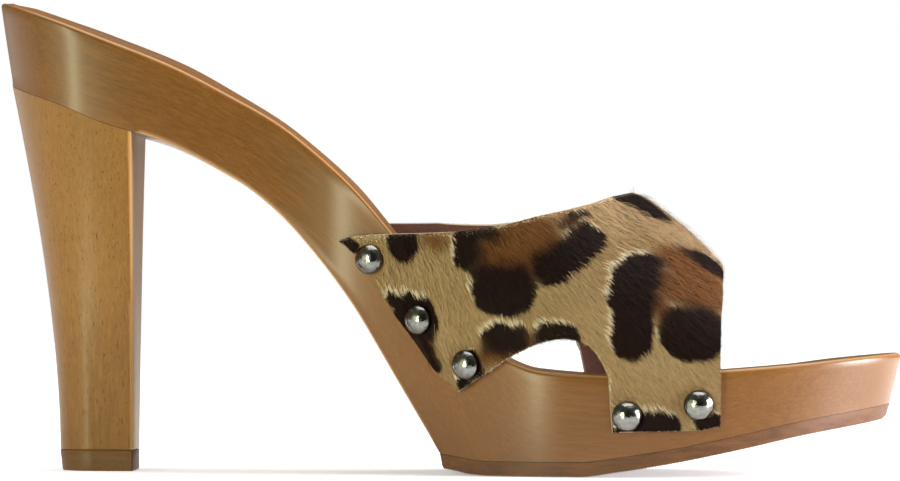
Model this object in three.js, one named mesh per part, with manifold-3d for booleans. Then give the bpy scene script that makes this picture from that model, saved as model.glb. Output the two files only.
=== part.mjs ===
// A right-foot high-heeled clog sandal: a wooden sole board with a separate wooden heel, a rubber
// outsole and heel tip, and one leather upper that is nailed to the sole's sides with domed studs.
// Millimetres, +Z up, toe towards +X, the foot's outer side towards -Y. While the shoe is worked
// out, x is measured from the back of the heel; the finished group is centred at the end.
import * as THREE from "three";
import { mergeVertices } from "three/addons/utils/BufferGeometryUtils.js";
import Module from "manifold-3d";

const wasm = await Module();
wasm.setup();

// Sole board: heights are of its top rim above the floor, on the outer side.
const soleLength = 220;
const heelHeight = 113.9;
const platformHeight = 24;
const toeHeight = 29.9;
const soleThickness = 20;
const innerRimRaise = 2.9;
const seatHalfWidth = 27;
const outerWaist = 20.5;
const innerWaist = 21;
const outerBall = 43;
const innerBall = 42.5;
const toeTipOffset = 6;
const heelCupDepth = 4;
const rimChamfer = 1.2;
const rimLand = 1.5;
const archChamfer = 1.2;

// Outsole and heel.
const outsoleThickness = 3.3;
const toeSpring = 14.5;
const outsoleRearLift = 1.6;
const outsoleRearUndercut = 1.1;
const outsoleToeUndercut = 2;
const heelTipHeight = 5;
const heelTipUndercut = 0.6;
const heelBreast = 33.6;
const heelFootBack = 15.1;
const heelFootHalfWidth = 11.5;
const heelFlare = 1.7;

// Upper: heights and drops are measured from the sole's top rim.
const upperThickness = 2.2;
const upperLength = 90.1;
const toeOpening = 46.4;
const upperFrontBow = 1.9;
const vampHeight = 43.5;
const ridgeOffset = 5;
const frontFlangeLength = 25;
const frontFlangeDrop = 13.1;
const rearFlangeDrop = 17.8;
const openingRise = 8.7;
const innerSideShift = 3.6;
const innerSideRaise = 3.6;
const trimMargin = 3;

// Studs.
const studRadius = 3.55;
const studHeight = 2.5;
const studEdge = 0.5;
const shankRadius = 0.9;
const shankLength = 9;

// Clearance between pieces that meet.
const seam = 0.3;

const outer = { sign: -1, waist: outerWaist, ball: outerBall, ballAt: 0.627 * soleLength };
const inner = { sign: 1, waist: innerWaist, ball: innerBall, ballAt: 0.72 * soleLength };
const seatAt = 0.1 * soleLength;
const waistAt = 0.364 * soleLength;
const heelRoundness = 2.2;
const toeRoundness = 2.5;

// The top rim in side view. "seat" is the share of the climb from platform to heel, "toe" that to
// the toe, and "thick" the board's vertical thickness as a share of soleThickness.
const profile = [
  { along: 0, seat: 1, toe: 0, thick: 0.97, raise: 0, cup: 1 },
  { along: 0.035, seat: 0.968, toe: 0, thick: 0.99, raise: 0.8, cup: 1 },
  { along: 0.074, seat: 0.933, toe: 0, thick: 0.99, raise: 0.95, cup: 1 },
  { along: 0.115, seat: 0.895, toe: 0, thick: 1.01, raise: 1.05, cup: 1 },
  { along: 0.194, seat: 0.82, toe: 0, thick: 0.95, raise: 1, cup: 0.8 },
  { along: 0.267, seat: 0.73, toe: 0, thick: 0.975, raise: 0.75, cup: 0.6 },
  { along: 0.31, seat: 0.67, toe: 0, thick: 1.07, raise: 0.6, cup: 0.5 },
  { along: 0.351, seat: 0.593, toe: 0, thick: 1.215, raise: 0.55, cup: 0.45 },
  { along: 0.394, seat: 0.496, toe: 0, thick: 1.41, raise: 0.6, cup: 0.4 },
  { along: 0.435, seat: 0.38, toe: 0, thick: 1.635, raise: 0.5, cup: 0.4 },
  { along: 0.468, seat: 0.285, toe: 0, thick: 1.815, raise: 0.4, cup: 0.4 },
  { along: 0.5, seat: 0.192, toe: 0, thick: 1.97, raise: 0.4, cup: 0.4 },
  { along: 0.532, seat: 0.109, toe: 0, thick: 2.1, raise: 0.35, cup: 0.4 },
  { along: 0.567, seat: 0.036, toe: 0, thick: 2.2, raise: 0.25, cup: 0.4 },
  { along: 0.601, seat: 0.011, toe: 0, thick: 2.3, raise: 0.1, cup: 0.38 },
  { along: 0.682, seat: 0, toe: 0, thick: 2.3, raise: 0, cup: 0.32 },
  { along: 0.807, seat: 0, toe: 0.3, thick: 2.3, raise: -0.2, cup: 0.25 },
  { along: 0.878, seat: 0, toe: 0.53, thick: 2.3, raise: -0.2, cup: 0.2 },
  { along: 0.933, seat: 0, toe: 0.76, thick: 2.3, raise: -0.1, cup: 0.15 },
  { along: 1, seat: 0, toe: 1, thick: 2.3, raise: 0, cup: 0.1 },
];

// The tread in side view: shares of toeSpring and of the lift at the outsole's rear edge.
const tread = [
  { along: 0.49, toe: 0, rear: 1 },
  { along: 0.508, toe: 0, rear: 0.6 },
  { along: 0.522, toe: 0, rear: 0.2 },
  { along: 0.545, toe: 0, rear: 0 },
  { along: 0.641, toe: 0, rear: 0 },
  { along: 0.678, toe: 0.07, rear: 0 },
  { along: 0.741, toe: 0.225, rear: 0 },
  { along: 0.814, toe: 0.455, rear: 0 },
  { along: 0.886, toe: 0.7, rear: 0 },
  { along: 1, toe: 1, rear: 0 },
];

// How far the board's sides lean in towards the bottom, per millimetre of depth.
const lean = [
  { along: 0, draft: 0.16 },
  { along: 0.12, draft: 0.1 },
  { along: 0.3, draft: 0.08 },
  { along: 0.85, draft: 0.08 },
  { along: 1, draft: 0.24 },
];

// The upper lies between these places. Its tables give each row's place as "behind", the share of
// upperLength from the front edge.
const upperFront = soleLength - toeOpening;
const behindFront = (share) => upperFront - share * upperLength;

// The last's ridge line above the rim, as a share of vampHeight.
const ridge = [
  { behind: 1.072, rise: 1.5 },
  { behind: 0.755, rise: 1.6 },
  { behind: 0.596, rise: 1.57 },
  { behind: 0.484, rise: 1.46 },
  { behind: 0.374, rise: 1.29 },
  { behind: 0.262, rise: 1.1 },
  { behind: 0.183, rise: 1.0 },
  { behind: 0.11, rise: 0.88 },
  { behind: 0.044, rise: 0.75 },
  { behind: -0.019, rise: 0.61 },
  { behind: -0.075, rise: 0.52 },
];

// The throat's edge in side view: the share of its climb from the rear point to the ridge.
const throat = [
  { behind: 1.004, climb: 0 },
  { behind: 0.965, climb: 0.1 },
  { behind: 0.889, climb: 0.13 },
  { behind: 0.726, climb: 0.15 },
  { behind: 0.569, climb: 0.27 },
  { behind: 0.482, climb: 0.43 },
  { behind: 0.356, climb: 0.66 },
  { behind: 0.286, climb: 0.84 },
  { behind: 0.198, climb: 1 },
  { behind: 0.071, climb: 1.4 },
];
const throatRearDrop = 0.9;
const throatRearAt = behindFront(1);
const throatRidgeAt = behindFront(0.198);
const throatFrontAt = behindFront(0.071);
const innerRaiseEnd = behindFront(0.427);
const innerRaiseFade = 0.278 * upperLength;
const innerShiftFade = 0.488 * upperLength;

// The side opening's edge, from the rear flange's lower point forwards. "back" is the share of the
// way from openingFront to that point, "rise" the share of openingRise above the platform.
const openingFront = upperFront - frontFlangeLength;
const rearFlangePointAt = behindFront(0.674);
const opening = [
  { back: 0.77, rise: 0.24 },
  { back: 0.583, rise: 0.7 },
  { back: 0.448, rise: 0.92 },
  { back: 0.342, rise: 1 },
  { back: 0.207, rise: 0.93 },
  { back: 0.126, rise: 0.71 },
  { back: 0.073, rise: 0.38 },
  { back: 0.028, rise: 0 },
];

// The rear flange's edge between its lower point and its upper one, as shares of the way up.
const rearEdge = [
  { back: 0.173, rise: 0.122 },
  { back: 0.316, rise: 0.283 },
  { back: 0.486, rise: 0.465 },
  { back: 0.874, rise: 0.918 },
];

// The front flange's lower edge from the front backwards, as shares of the flange's length and drop.
const flangeEdge = [
  { back: 0, drop: 0.94 },
  { back: 0.2, drop: 1.03 },
];

// The upper's front edge: the share of upperFrontBow at a share of vampHeight over the platform.
const frontEdge = [
  { height: 0.1, out: 0 },
  { height: 0.3, out: 0.12 },
  { height: 0.48, out: 0.5 },
  { height: 0.62, out: 1 },
];

// Stud places: the share of the named length behind the front edge, and the drop below the rim as
// a share of the drop of the flange that the stud holds.
const rearFlange = { length: upperLength, drop: rearFlangeDrop };
const frontFlange = { length: frontFlangeLength, drop: frontFlangeDrop };
const studPlaces = [
  { name: "rear_top", flange: rearFlange, behind: 0.911, drop: 0.65 },
  { name: "rear_middle", flange: rearFlange, behind: 0.776, drop: 0.65 },
  { name: "rear_bottom", flange: rearFlange, behind: 0.65, drop: 0.52 },
  { name: "front_rear", flange: frontFlange, behind: 0.872, drop: 0.71 },
  { name: "front_toe", flange: frontFlange, behind: 0.204, drop: 0.58 },
];

const mix = (a, b, t) => a + (b - a) * t;
const ease = (t) => (1 - Math.cos(Math.PI * Math.min(1, Math.max(0, t)))) / 2;
const superArc = (u, power) => Math.pow(Math.max(0, 1 - Math.pow(u, power)), 1 / power);

const alongSole = (row) => row.along * soleLength;
const alongUpper = (row) => behindFront(row.behind);

// A monotone cubic through one column of a table, over x in millimetres.
function line(rows, column, placeOf = alongSole) {
  const xs = rows.map(placeOf);
  const ys = rows.map((row) => row[column]);
  const steps = xs.slice(1).map((x, i) => (ys[i + 1] - ys[i]) / (x - xs[i]));
  const slopes = xs.map((_, i) => {
    if (i === 0) return steps[0];
    if (i === xs.length - 1) return steps[i - 1];
    const [before, after] = [steps[i - 1], steps[i]];
    return before * after <= 0 ? 0 : (2 * before * after) / (before + after);
  });
  return (x) => {
    const at = Math.min(xs[xs.length - 1], Math.max(xs[0], x));
    const i = Math.min(xs.length - 2, xs.findLastIndex((v) => v <= at));
    const width = xs[i + 1] - xs[i];
    const t = (at - xs[i]) / width;
    const [t2, t3] = [t * t, t * t * t];
    const bend = (t3 - 2 * t2 + t) * slopes[i] + (t3 - t2) * slopes[i + 1];
    return mix(ys[i], ys[i + 1], 3 * t2 - 2 * t3) + width * bend;
  };
}

const seatShare = line(profile, "seat");
const toeShare = line(profile, "toe");
const thickShare = line(profile, "thick");
const raiseShare = line(profile, "raise");
const cupShare = line(profile, "cup");
const draftAt = line(lean, "draft");
const treadToe = line(tread, "toe");
const treadRear = line(tread, "rear");
const ridgeShare = line(ridge, "rise", alongUpper);
const throatShare = line(throat, "climb", alongUpper);

// Top rim height, outer or inner side.
function rimZ(x, side) {
  const climb = (heelHeight - platformHeight) * seatShare(x);
  const lift = (toeHeight - platformHeight) * toeShare(x);
  const raise = side.sign > 0 ? innerRimRaise * raiseShare(x) : 0;
  return platformHeight + climb + lift + raise;
}

const treadZ = (x) => toeSpring * treadToe(x) + outsoleRearLift * treadRear(x);
const outsoleTopZ = (x) => treadZ(x) + outsoleThickness;
const archZ = (x) => rimZ(x, outer) - soleThickness * thickShare(x);
const soleUnderZ = (x) => Math.max(archZ(x), outsoleTopZ(x) + seam);

// Where the arch's underside comes down to the outsole.
function findArchEnd() {
  let [low, high] = [waistAt, outer.ballAt];
  for (let i = 0; i < 40; i++) {
    const middle = (low + high) / 2;
    if (archZ(middle) > outsoleTopZ(middle) + seam) low = middle;
    else high = middle;
  }
  return (low + high) / 2;
}
const archEnd = findArchEnd();

// The plan outline's y on one side.
function outlineY(x, side) {
  if (x < seatAt) {
    return side.sign * seatHalfWidth * superArc((seatAt - x) / seatAt, heelRoundness);
  }
  if (x < waistAt) {
    return side.sign * mix(seatHalfWidth, side.waist, ease((x - seatAt) / (waistAt - seatAt)));
  }
  if (x < side.ballAt) {
    return side.sign * mix(side.waist, side.ball, ease((x - waistAt) / (side.ballAt - waistAt)));
  }
  const u = Math.min(1, (x - side.ballAt) / (soleLength - side.ballAt));
  return mix(toeTipOffset, side.sign * side.ball, superArc(u, toeRoundness));
}

// Stations along the sole, close together round the heel and the toe.
function stationsAlong(counts) {
  const stations = [];
  for (let i = 0; i < counts.heel; i++) {
    const angle = (Math.PI / 2) * (i / counts.heel);
    stations.push(seatAt * (1 - Math.pow(Math.cos(angle), 2 / heelRoundness)));
  }
  for (let i = 0; i < counts.arch; i++) stations.push(mix(seatAt, archEnd, i / counts.arch));
  for (let i = 0; i < counts.ball; i++) stations.push(mix(archEnd, outer.ballAt, i / counts.ball));
  for (let i = 0; i <= counts.toe; i++) {
    const angle = (Math.PI / 2) * (i / counts.toe);
    const u = Math.pow(Math.sin(angle), 2 / toeRoundness);
    stations.push(mix(outer.ballAt, soleLength, i === counts.toe ? 1 : u));
  }
  return stations;
}
const stations = stationsAlong({ heel: 9, arch: 25, ball: 8, toe: 18 });

// The plan outline as points, each with the direction in which the sides are set in.
function outlineRing() {
  const last = stations.length - 1;
  const at = (k, side) => new THREE.Vector2(stations[k], outlineY(stations[k], side));
  const normals = (k, side) => {
    const other = side === outer ? inner : outer;
    const before = k === 0 ? at(1, other) : at(k - 1, side);
    const after = k === last ? at(last - 1, other) : at(k + 1, side);
    const along = after.sub(before).normalize();
    const normal = new THREE.Vector2(side.sign * -along.y, side.sign * along.x);
    const middle = stations[k] >= seatAt && stations[k] <= side.ballAt;
    if (k === 0) normal.set(-1, 0);
    return middle ? new THREE.Vector2(0, 1 / normal.y) : normal;
  };
  // Both sides share one point and one direction at the toe's tip.
  const tipNormal = normals(last, outer);
  return (k, side) => ({
    point: at(k, side),
    normal: k === last ? tipNormal : normals(k, side),
  });
}
const outline = outlineRing();

// An outline point moved inwards, at the height that a function gives for its place.
function insetPoint(k, side, inset, heightAt) {
  const { point, normal } = outline(k, side);
  const x = point.x - normal.x * inset;
  return new THREE.Vector3(x, point.y - normal.y * inset, heightAt(x));
}

const depthAt = (x) => rimZ(x, outer) - soleUnderZ(x);
const wallInset = (x, depth) => draftAt(x) * Math.max(0, depth - rimChamfer);

// The sole's bottom edge, on either side of a station.
function soleEdge(k, side) {
  const x = stations[k];
  return insetPoint(k, side, wallInset(x, depthAt(x)), soleUnderZ);
}

// A triangle mesh from points and faces, closed and facing out.
function closedGeometry(points, faces) {
  const raw = new THREE.BufferGeometry();
  const positions = new Float32Array(points.flatMap((p) => [p.x, p.y, p.z]));
  raw.setAttribute("position", new THREE.BufferAttribute(positions, 3));
  raw.setIndex(faces.flat());
  const merged = mergeVertices(raw, 1e-3);
  const index = merged.index.array;
  const kept = [];
  for (let i = 0; i < index.length; i += 3) {
    const [a, b, c] = [index[i], index[i + 1], index[i + 2]];
    if (a !== b && b !== c && a !== c) kept.push(a, b, c);
  }
  const p = merged.getAttribute("position");
  const corner = (n) => new THREE.Vector3().fromBufferAttribute(p, n);
  let volume = 0;
  for (let i = 0; i < kept.length; i += 3) {
    volume += corner(kept[i]).dot(corner(kept[i + 1]).cross(corner(kept[i + 2])));
  }
  if (volume < 0) {
    for (let i = 0; i < kept.length; i += 3) [kept[i], kept[i + 1]] = [kept[i + 1], kept[i]];
  }
  merged.setIndex(kept);
  return merged;
}

// Closed rings joined in order. Each end is closed by the faces that capFaces gives for a ring.
function loft(rings, capFaces) {
  const size = rings[0].length;
  const faces = [];
  for (let r = 0; r + 1 < rings.length; r++) {
    for (let i = 0; i < size; i++) {
      const j = (i + 1) % size;
      const [a, b, c, d] = [r * size + i, r * size + j, (r + 1) * size + j, (r + 1) * size + i];
      faces.push([a, b, c], [a, c, d]);
    }
  }
  const lastStart = (rings.length - 1) * size;
  for (const [a, b, c] of capFaces(size)) {
    faces.push([c, b, a], [lastStart + a, lastStart + b, lastStart + c]);
  }
  return closedGeometry(rings.flat(), faces);
}

// A ring whose first and second halves face each other is closed by rungs between them.
function rungCap(size) {
  const faces = [];
  for (let i = 0; i + 1 < size / 2; i++) {
    const [a, b, c, d] = [i, i + 1, size - 2 - i, size - 1 - i];
    faces.push([a, b, c], [a, c, d]);
  }
  return faces;
}

const noCap = () => [];

function solidOf(geometry) {
  const bare = geometry.clone();
  bare.deleteAttribute("normal");
  bare.deleteAttribute("uv");
  const merged = mergeVertices(bare, 1e-3);
  const vertProperties = merged.getAttribute("position").array;
  const triVerts = new Uint32Array(merged.index.array);
  return new wasm.Manifold(new wasm.Mesh({ numProp: 3, vertProperties, triVerts }));
}

function geometryOf(solid) {
  const mesh = solid.getMesh();
  const geometry = new THREE.BufferGeometry();
  geometry.setAttribute("position", new THREE.BufferAttribute(mesh.vertProperties, 3));
  geometry.setIndex(new THREE.BufferAttribute(mesh.triVerts, 1));
  return geometry;
}

// Wooden sole board: leaning sides, chamfered edges and a hollowed footbed.
function soleGeometry() {
  const across = 10;
  const hollowRoundness = 2.4;
  const hollowNarrowing = 1.5;
  const rings = stations.map((x, k) => {
    const half = (outlineY(x, inner) - outlineY(x, outer)) / 2;
    // The two sides meet in one point at either end, so they share one rim height there.
    const shared = k === 0 || k === stations.length - 1;
    const side = (s) => {
      const depth = depthAt(x);
      const chamfer = archChamfer * (x > heelBreast + 1 && x < archEnd ? 1 : 0);
      const rim = (at) => rimZ(at, shared ? outer : s);
      return [
        insetPoint(k, s, wallInset(x, depth) + chamfer, soleUnderZ),
        insetPoint(k, s, wallInset(x, depth - chamfer), (at) => soleUnderZ(at) + chamfer),
        insetPoint(k, s, wallInset(x, rimChamfer), (at) => rim(at) - rimChamfer),
        insetPoint(k, s, rimChamfer, rim),
        insetPoint(k, s, rimChamfer + rimLand, rim),
      ];
    };
    const [left, right] = [side(outer), side(inner)];
    const ballward = ease((x - waistAt) / (outer.ballAt - waistAt));
    const reach = mix(seatHalfWidth, outerBall, ballward);
    const cup = heelCupDepth * cupShare(x) * Math.min(1, half / reach) ** hollowNarrowing;
    const [from, to] = [left[left.length - 1], right[right.length - 1]];
    const bed = [];
    for (let i = 1; i < across; i++) {
      const t = i / across;
      const point = from.clone().lerp(to, t);
      point.z -= cup * (1 - Math.abs(2 * t - 1) ** hollowRoundness);
      bed.push(point);
    }
    return [...left, ...bed, ...right.reverse()];
  });
  return loft(rings, noCap);
}

// A sole edge point at x millimetres from the back, found between two stations.
function soleEdgeAt(x, side) {
  const k = stations.findIndex((_, i) => soleEdge(i, side).x >= x);
  const [a, b] = [soleEdge(k - 1, side), soleEdge(k, side)];
  return a.lerp(b, (x - a.x) / (b.x - a.x));
}

// The heel's plan at its foot, from the middle of the back round to the breast on one side. "turn"
// is the share of t that goes round the back, "reach" the share of the depth that it takes.
function heelFootPoint(t, side) {
  const [turn, reach, fullness, breastShare] = [0.55, 0.45, 0.85, 0.96];
  const angle = (Math.PI / 2) * Math.min(1, t / turn);
  const turned = mix(heelFootBack, heelBreast, reach * (1 - Math.cos(angle)));
  const straight = Math.max(0, (t - turn) / (1 - turn));
  const half = heelFootHalfWidth * Math.sin(angle) ** fullness * mix(1, breastShare, straight);
  return new THREE.Vector2(mix(turned, heelBreast, straight), side.sign * half);
}

// The heel's plan where it meets the sole, which it follows all round.
function heelTopPoint(t, side) {
  const reach = soleEdge(0, side).x;
  const x = mix(reach, heelBreast, 1 - Math.cos((Math.PI / 2) * t));
  return t === 0 ? soleEdge(0, side) : soleEdgeAt(Math.min(x, heelBreast), side);
}

// One closed ring of the heel, as a share of the way from its foot to the sole.
function heelRing(share, heightAt) {
  const steps = 12;
  const flare = share ** heelFlare;
  const half = (side) =>
    Array.from({ length: steps + 1 }, (_, i) => {
      const t = i / steps;
      const foot = heelFootPoint(t, side);
      const top = heelTopPoint(t, side);
      const x = mix(foot.x, top.x, flare);
      const y = mix(foot.y, top.y, flare);
      return new THREE.Vector3(x, y, heightAt(x));
    });
  return [...half(outer), ...half(inner).reverse()];
}

// Wooden heel: a D-shaped block that flares up to the sole's edge.
function heelGeometry() {
  const levels = 12;
  const foot = heelTipHeight + seam;
  const rings = Array.from({ length: levels + 1 }, (_, i) => {
    const share = i / levels;
    return heelRing(share, (x) => mix(foot, soleUnderZ(x) - seam, share));
  });
  return loft(rings, rungCap);
}

// Rubber heel tip, with the heel's own plan and a small undercut at the back.
function heelTipGeometry() {
  const top = heelRing(0, () => heelTipHeight);
  const reach = heelBreast - heelFootBack;
  const bottom = top.map((p) => {
    const back = (heelBreast - p.x) / reach;
    return new THREE.Vector3(p.x + heelTipUndercut * back, p.y, 0);
  });
  return loft([bottom, top], rungCap);
}

// Rubber outsole under the platform, flush with the sole's bottom edge.
function outsoleGeometry() {
  const across = 6;
  const first = stations.findIndex((x) => x >= archEnd - 1e-6);
  const rings = stations.slice(first).map((x, i) => {
    const k = first + i;
    const toeward = Math.max(0, (x - outer.ballAt) / (soleLength - outer.ballAt));
    const undercut = i === 0 ? outsoleRearUndercut : -outsoleToeUndercut * toeward ** 4;
    const edges = [outer, inner].map((side) => soleEdge(k, side));
    const row = (heightAt, shift) =>
      Array.from({ length: across + 1 }, (_, n) => {
        const p = edges[0].clone().lerp(edges[1], n / across);
        return new THREE.Vector3(p.x + shift, p.y, heightAt(p.x + shift));
      });
    return [...row(treadZ, undercut), ...row(outsoleTopZ, 0).reverse()];
  });
  return loft(rings, rungCap);
}

// The upper's inner face. t runs from 0 at the outer side's lower end over the foot to 1 at the
// inner side's. "wall" is the share of t that lies against each side of the sole.
const wallShare = 0.14;
const wallDepth = rearFlangeDrop * 1.6;

function wallPoint(x, side, depth) {
  const slope = outlineY(x + 0.5, side) - outlineY(x - 0.5, side);
  const stretch = Math.hypot(1, slope);
  const y = outlineY(x, side) + side.sign * stretch * (seam - wallInset(x, depth));
  return new THREE.Vector3(x, y, rimZ(x, side) - depth);
}

function upperPoint(x, t) {
  const start = rimChamfer;
  if (t < wallShare) return wallPoint(x, outer, mix(wallDepth, start, t / wallShare));
  if (t > 1 - wallShare) return wallPoint(x, inner, mix(wallDepth, start, (1 - t) / wallShare));
  const angle = (Math.PI * (t - wallShare)) / (1 - 2 * wallShare);
  const [left, right] = [wallPoint(x, outer, start), wallPoint(x, inner, start)];
  const over = (1 - Math.cos(angle)) / 2;
  const height = vampHeight * ridgeShare(x) - upperThickness + start;
  const y = mix(left.y, right.y, over) + ridgeOffset * Math.sin(angle) ** 2;
  return new THREE.Vector3(x, y, mix(left.z, right.z, over) + height * Math.sin(angle));
}

function upperNormal(x, t) {
  const [stepAlong, stepOver] = [0.2, 0.004];
  const [before, after] = [Math.max(0, t - stepOver), Math.min(1, t + stepOver)];
  const along = upperPoint(x + stepAlong, t).sub(upperPoint(x - stepAlong, t));
  const over = upperPoint(x, after).sub(upperPoint(x, before));
  return along.cross(over).normalize();
}

// The uncut shell of the upper, a little longer at the rear than the leather that is kept.
function upperBlank() {
  const [along, over, wall] = [28, 26, 4];
  const rear = throatRearAt - trimMargin;
  const ts = [];
  for (let i = 0; i < wall; i++) ts.push((wallShare * i) / wall);
  for (let i = 0; i <= over; i++) ts.push(mix(wallShare, 1 - wallShare, i / over));
  for (let i = wall - 1; i >= 0; i--) ts.push(1 - (wallShare * i) / wall);
  const rings = Array.from({ length: along + 1 }, (_, i) => {
    const share = i / along;
    const x = mix(rear, upperFront + 2 * upperFrontBow, share);
    const face = ts.map((t) => upperPoint(x, t));
    const out = ts.map((t, n) =>
      face[n].clone().addScaledVector(upperNormal(x, t), upperThickness));
    return [...out, ...face.reverse()];
  });
  return solidOf(loft(rings, rungCap));
}

// The height of the throat's edge on one side. The inner side's edge is higher.
function throatZ(x, side) {
  const rear = rimZ(throatRearAt, outer) - rearFlangeDrop * throatRearDrop;
  const front = rimZ(throatRidgeAt, outer) + vampHeight;
  const fade = Math.min(1, Math.max(0, (innerRaiseEnd - x) / innerRaiseFade));
  const raise = side.sign > 0 ? innerSideRaise * fade : 0;
  return mix(rear, front, throatShare(x)) + raise;
}

// One side's leather in side view: throat edge, front flange, opening and rear flange.
function sideShape(side) {
  const shift = side.sign > 0 ? -innerSideShift : 0;
  const raise = side.sign > 0 ? innerSideRaise : 0;
  const shape = new THREE.Shape();
  const rearPoint = new THREE.Vector2(throatRearAt + shift, throatZ(throatRearAt, side));
  shape.moveTo(rearPoint.x, rearPoint.y);
  const steps = 12;
  for (let i = 1; i <= steps; i++) {
    const x = mix(throatRearAt, throatFrontAt, i / steps);
    shape.lineTo(x + shift * ease((throatRidgeAt - x) / innerShiftFade), throatZ(x, side));
  }
  shape.lineTo(upperFront + 2 * upperFrontBow, throatZ(throatFrontAt, side));
  for (const { height, out } of [...frontEdge].reverse()) {
    shape.lineTo(upperFront + upperFrontBow * out, platformHeight + height * vampHeight);
  }
  for (const { back, drop } of flangeEdge) {
    const x = upperFront - back * frontFlangeLength;
    shape.lineTo(x, rimZ(x, side) - drop * frontFlangeDrop);
  }
  shape.lineTo(openingFront + shift, rimZ(openingFront, side) - frontFlangeDrop);
  const point = new THREE.Vector2(rearFlangePointAt + shift, 0);
  point.y = rimZ(rearFlangePointAt, outer) - rearFlangeDrop + raise;
  const curve = opening.map((row) => new THREE.Vector2(
    mix(openingFront + shift, point.x, row.back),
    platformHeight + openingRise * row.rise + (row.rise > 0 ? raise : 0),
  ));
  shape.splineThru([...curve.reverse(), point]);
  for (const { back, rise } of rearEdge) {
    shape.lineTo(mix(point.x, rearPoint.x, back), mix(point.y, rearPoint.y, rise));
  }
  return shape;
}

// Leather upper: the shell over the last, cut to its outline on each side.
function upperSolid() {
  const reach = outerBall + innerBall;
  const split = ridgeOffset + (innerBall - outerBall) / 2;
  const cutter = (side) => {
    const geometry = new THREE.ExtrudeGeometry(sideShape(side), {
      depth: reach,
      bevelEnabled: false,
      curveSegments: 3,
    });
    geometry.rotateX(Math.PI / 2);
    return solidOf(geometry.translate(0, side.sign < 0 ? split : split + reach, 0));
  };
  return upperBlank().intersect(cutter(outer).add(cutter(inner)));
}

// A stud: low dome with a rounded edge, on a plain nail shank. Its dome points along +Y.
function studGeometry() {
  const profilePoints = [new THREE.Vector2(0, -shankLength)];
  profilePoints.push(new THREE.Vector2(shankRadius * 0.4, -shankLength));
  profilePoints.push(new THREE.Vector2(shankRadius, -shankLength + 2 * shankRadius));
  profilePoints.push(new THREE.Vector2(shankRadius, 0));
  profilePoints.push(new THREE.Vector2(studRadius - studEdge / 2, 0));
  const domeSteps = 4;
  for (let i = 0; i <= domeSteps; i++) {
    const angle = (Math.PI / 2) * (i / domeSteps);
    const z = studEdge + (studHeight - studEdge) * Math.sin(angle);
    profilePoints.push(new THREE.Vector2(i === domeSteps ? 0 : studRadius * Math.cos(angle), z));
  }
  return new THREE.LatheGeometry(profilePoints, 12);
}

// Where each stud sits, and the direction in which its dome points.
function studPlacements() {
  const placed = [];
  for (const side of [outer, inner]) {
    for (const place of studPlaces) {
      const shift = side.sign > 0 ? -innerSideShift : 0;
      const x = upperFront - place.behind * place.flange.length + shift;
      const depth = place.drop * place.flange.drop;
      const share = (wallShare * (wallDepth - depth)) / (wallDepth - rimChamfer);
      const direction = upperNormal(x, side.sign < 0 ? share : 1 - share);
      const seat = wallPoint(x, side, depth).addScaledVector(direction, upperThickness + seam);
      const name = `stud_${side.sign < 0 ? "outer" : "inner"}_${place.name}`;
      placed.push({ name, seat, direction });
    }
  }
  return placed;
}

function alongDirection(direction) {
  return new THREE.Quaternion().setFromUnitVectors(new THREE.Vector3(0, 1, 0), direction);
}

// The hole that a stud's shank needs, through the leather and into the wood.
function shankHole({ seat, direction }) {
  const length = shankLength + 2 * seam;
  const hole = new THREE.CylinderGeometry(shankRadius + seam, shankRadius + seam, length + 2, 8);
  hole.translate(0, 1 - length / 2, 0);
  hole.applyQuaternion(alongDirection(direction));
  return solidOf(hole.translate(seat.x, seat.y, seat.z));
}

const wood = { color: 0x9c6b38, roughness: 0.42, metalness: 0 };
const finishes = {
  sole: wood,
  heel: { color: 0xa5783f, roughness: 0.4, metalness: 0 },
  rubber: { color: 0x6e4423, roughness: 0.7, metalness: 0 },
  outsole: { color: 0x8c5a33, roughness: 0.65, metalness: 0 },
  leather: { color: 0xa98f62, roughness: 0.8, metalness: 0 },
  stud: { color: 0xc9ccce, roughness: 0.12, metalness: 1 },
};

function piece(name, geometry, finish) {
  const shaded = geometry.index ? geometry.toNonIndexed() : geometry;
  shaded.computeVertexNormals();
  const mesh = new THREE.Mesh(shaded, new THREE.MeshStandardMaterial(finish));
  mesh.name = name;
  return mesh;
}

function buildShoe() {
  const shoe = new THREE.Group();
  shoe.name = "clog_sandal";
  const studs = studPlacements();
  const holes = studs.map(shankHole).reduce((all, hole) => all.add(hole));
  const sole = solidOf(soleGeometry()).subtract(holes);
  const upper = upperSolid().subtract(holes);
  shoe.add(piece("sole", geometryOf(sole), finishes.sole));
  shoe.add(piece("heel", heelGeometry(), finishes.heel));
  shoe.add(piece("heel_tip", heelTipGeometry(), finishes.rubber));
  shoe.add(piece("outsole", outsoleGeometry(), finishes.outsole));
  shoe.add(piece("upper", geometryOf(upper), finishes.leather));
  for (const stud of studs) {
    const mesh = piece(stud.name, studGeometry(), finishes.stud);
    mesh.position.copy(stud.seat);
    mesh.quaternion.copy(alongDirection(stud.direction));
    shoe.add(mesh);
  }
  const box = new THREE.Box3().setFromObject(shoe, true);
  const centre = box.getCenter(new THREE.Vector3());
  shoe.position.set(-centre.x, -centre.y, -box.min.z);
  return shoe;
}

export default buildShoe();
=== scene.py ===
import math

import bmesh
import bpy
import numpy as np
from mathutils import Matrix, Vector


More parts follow.
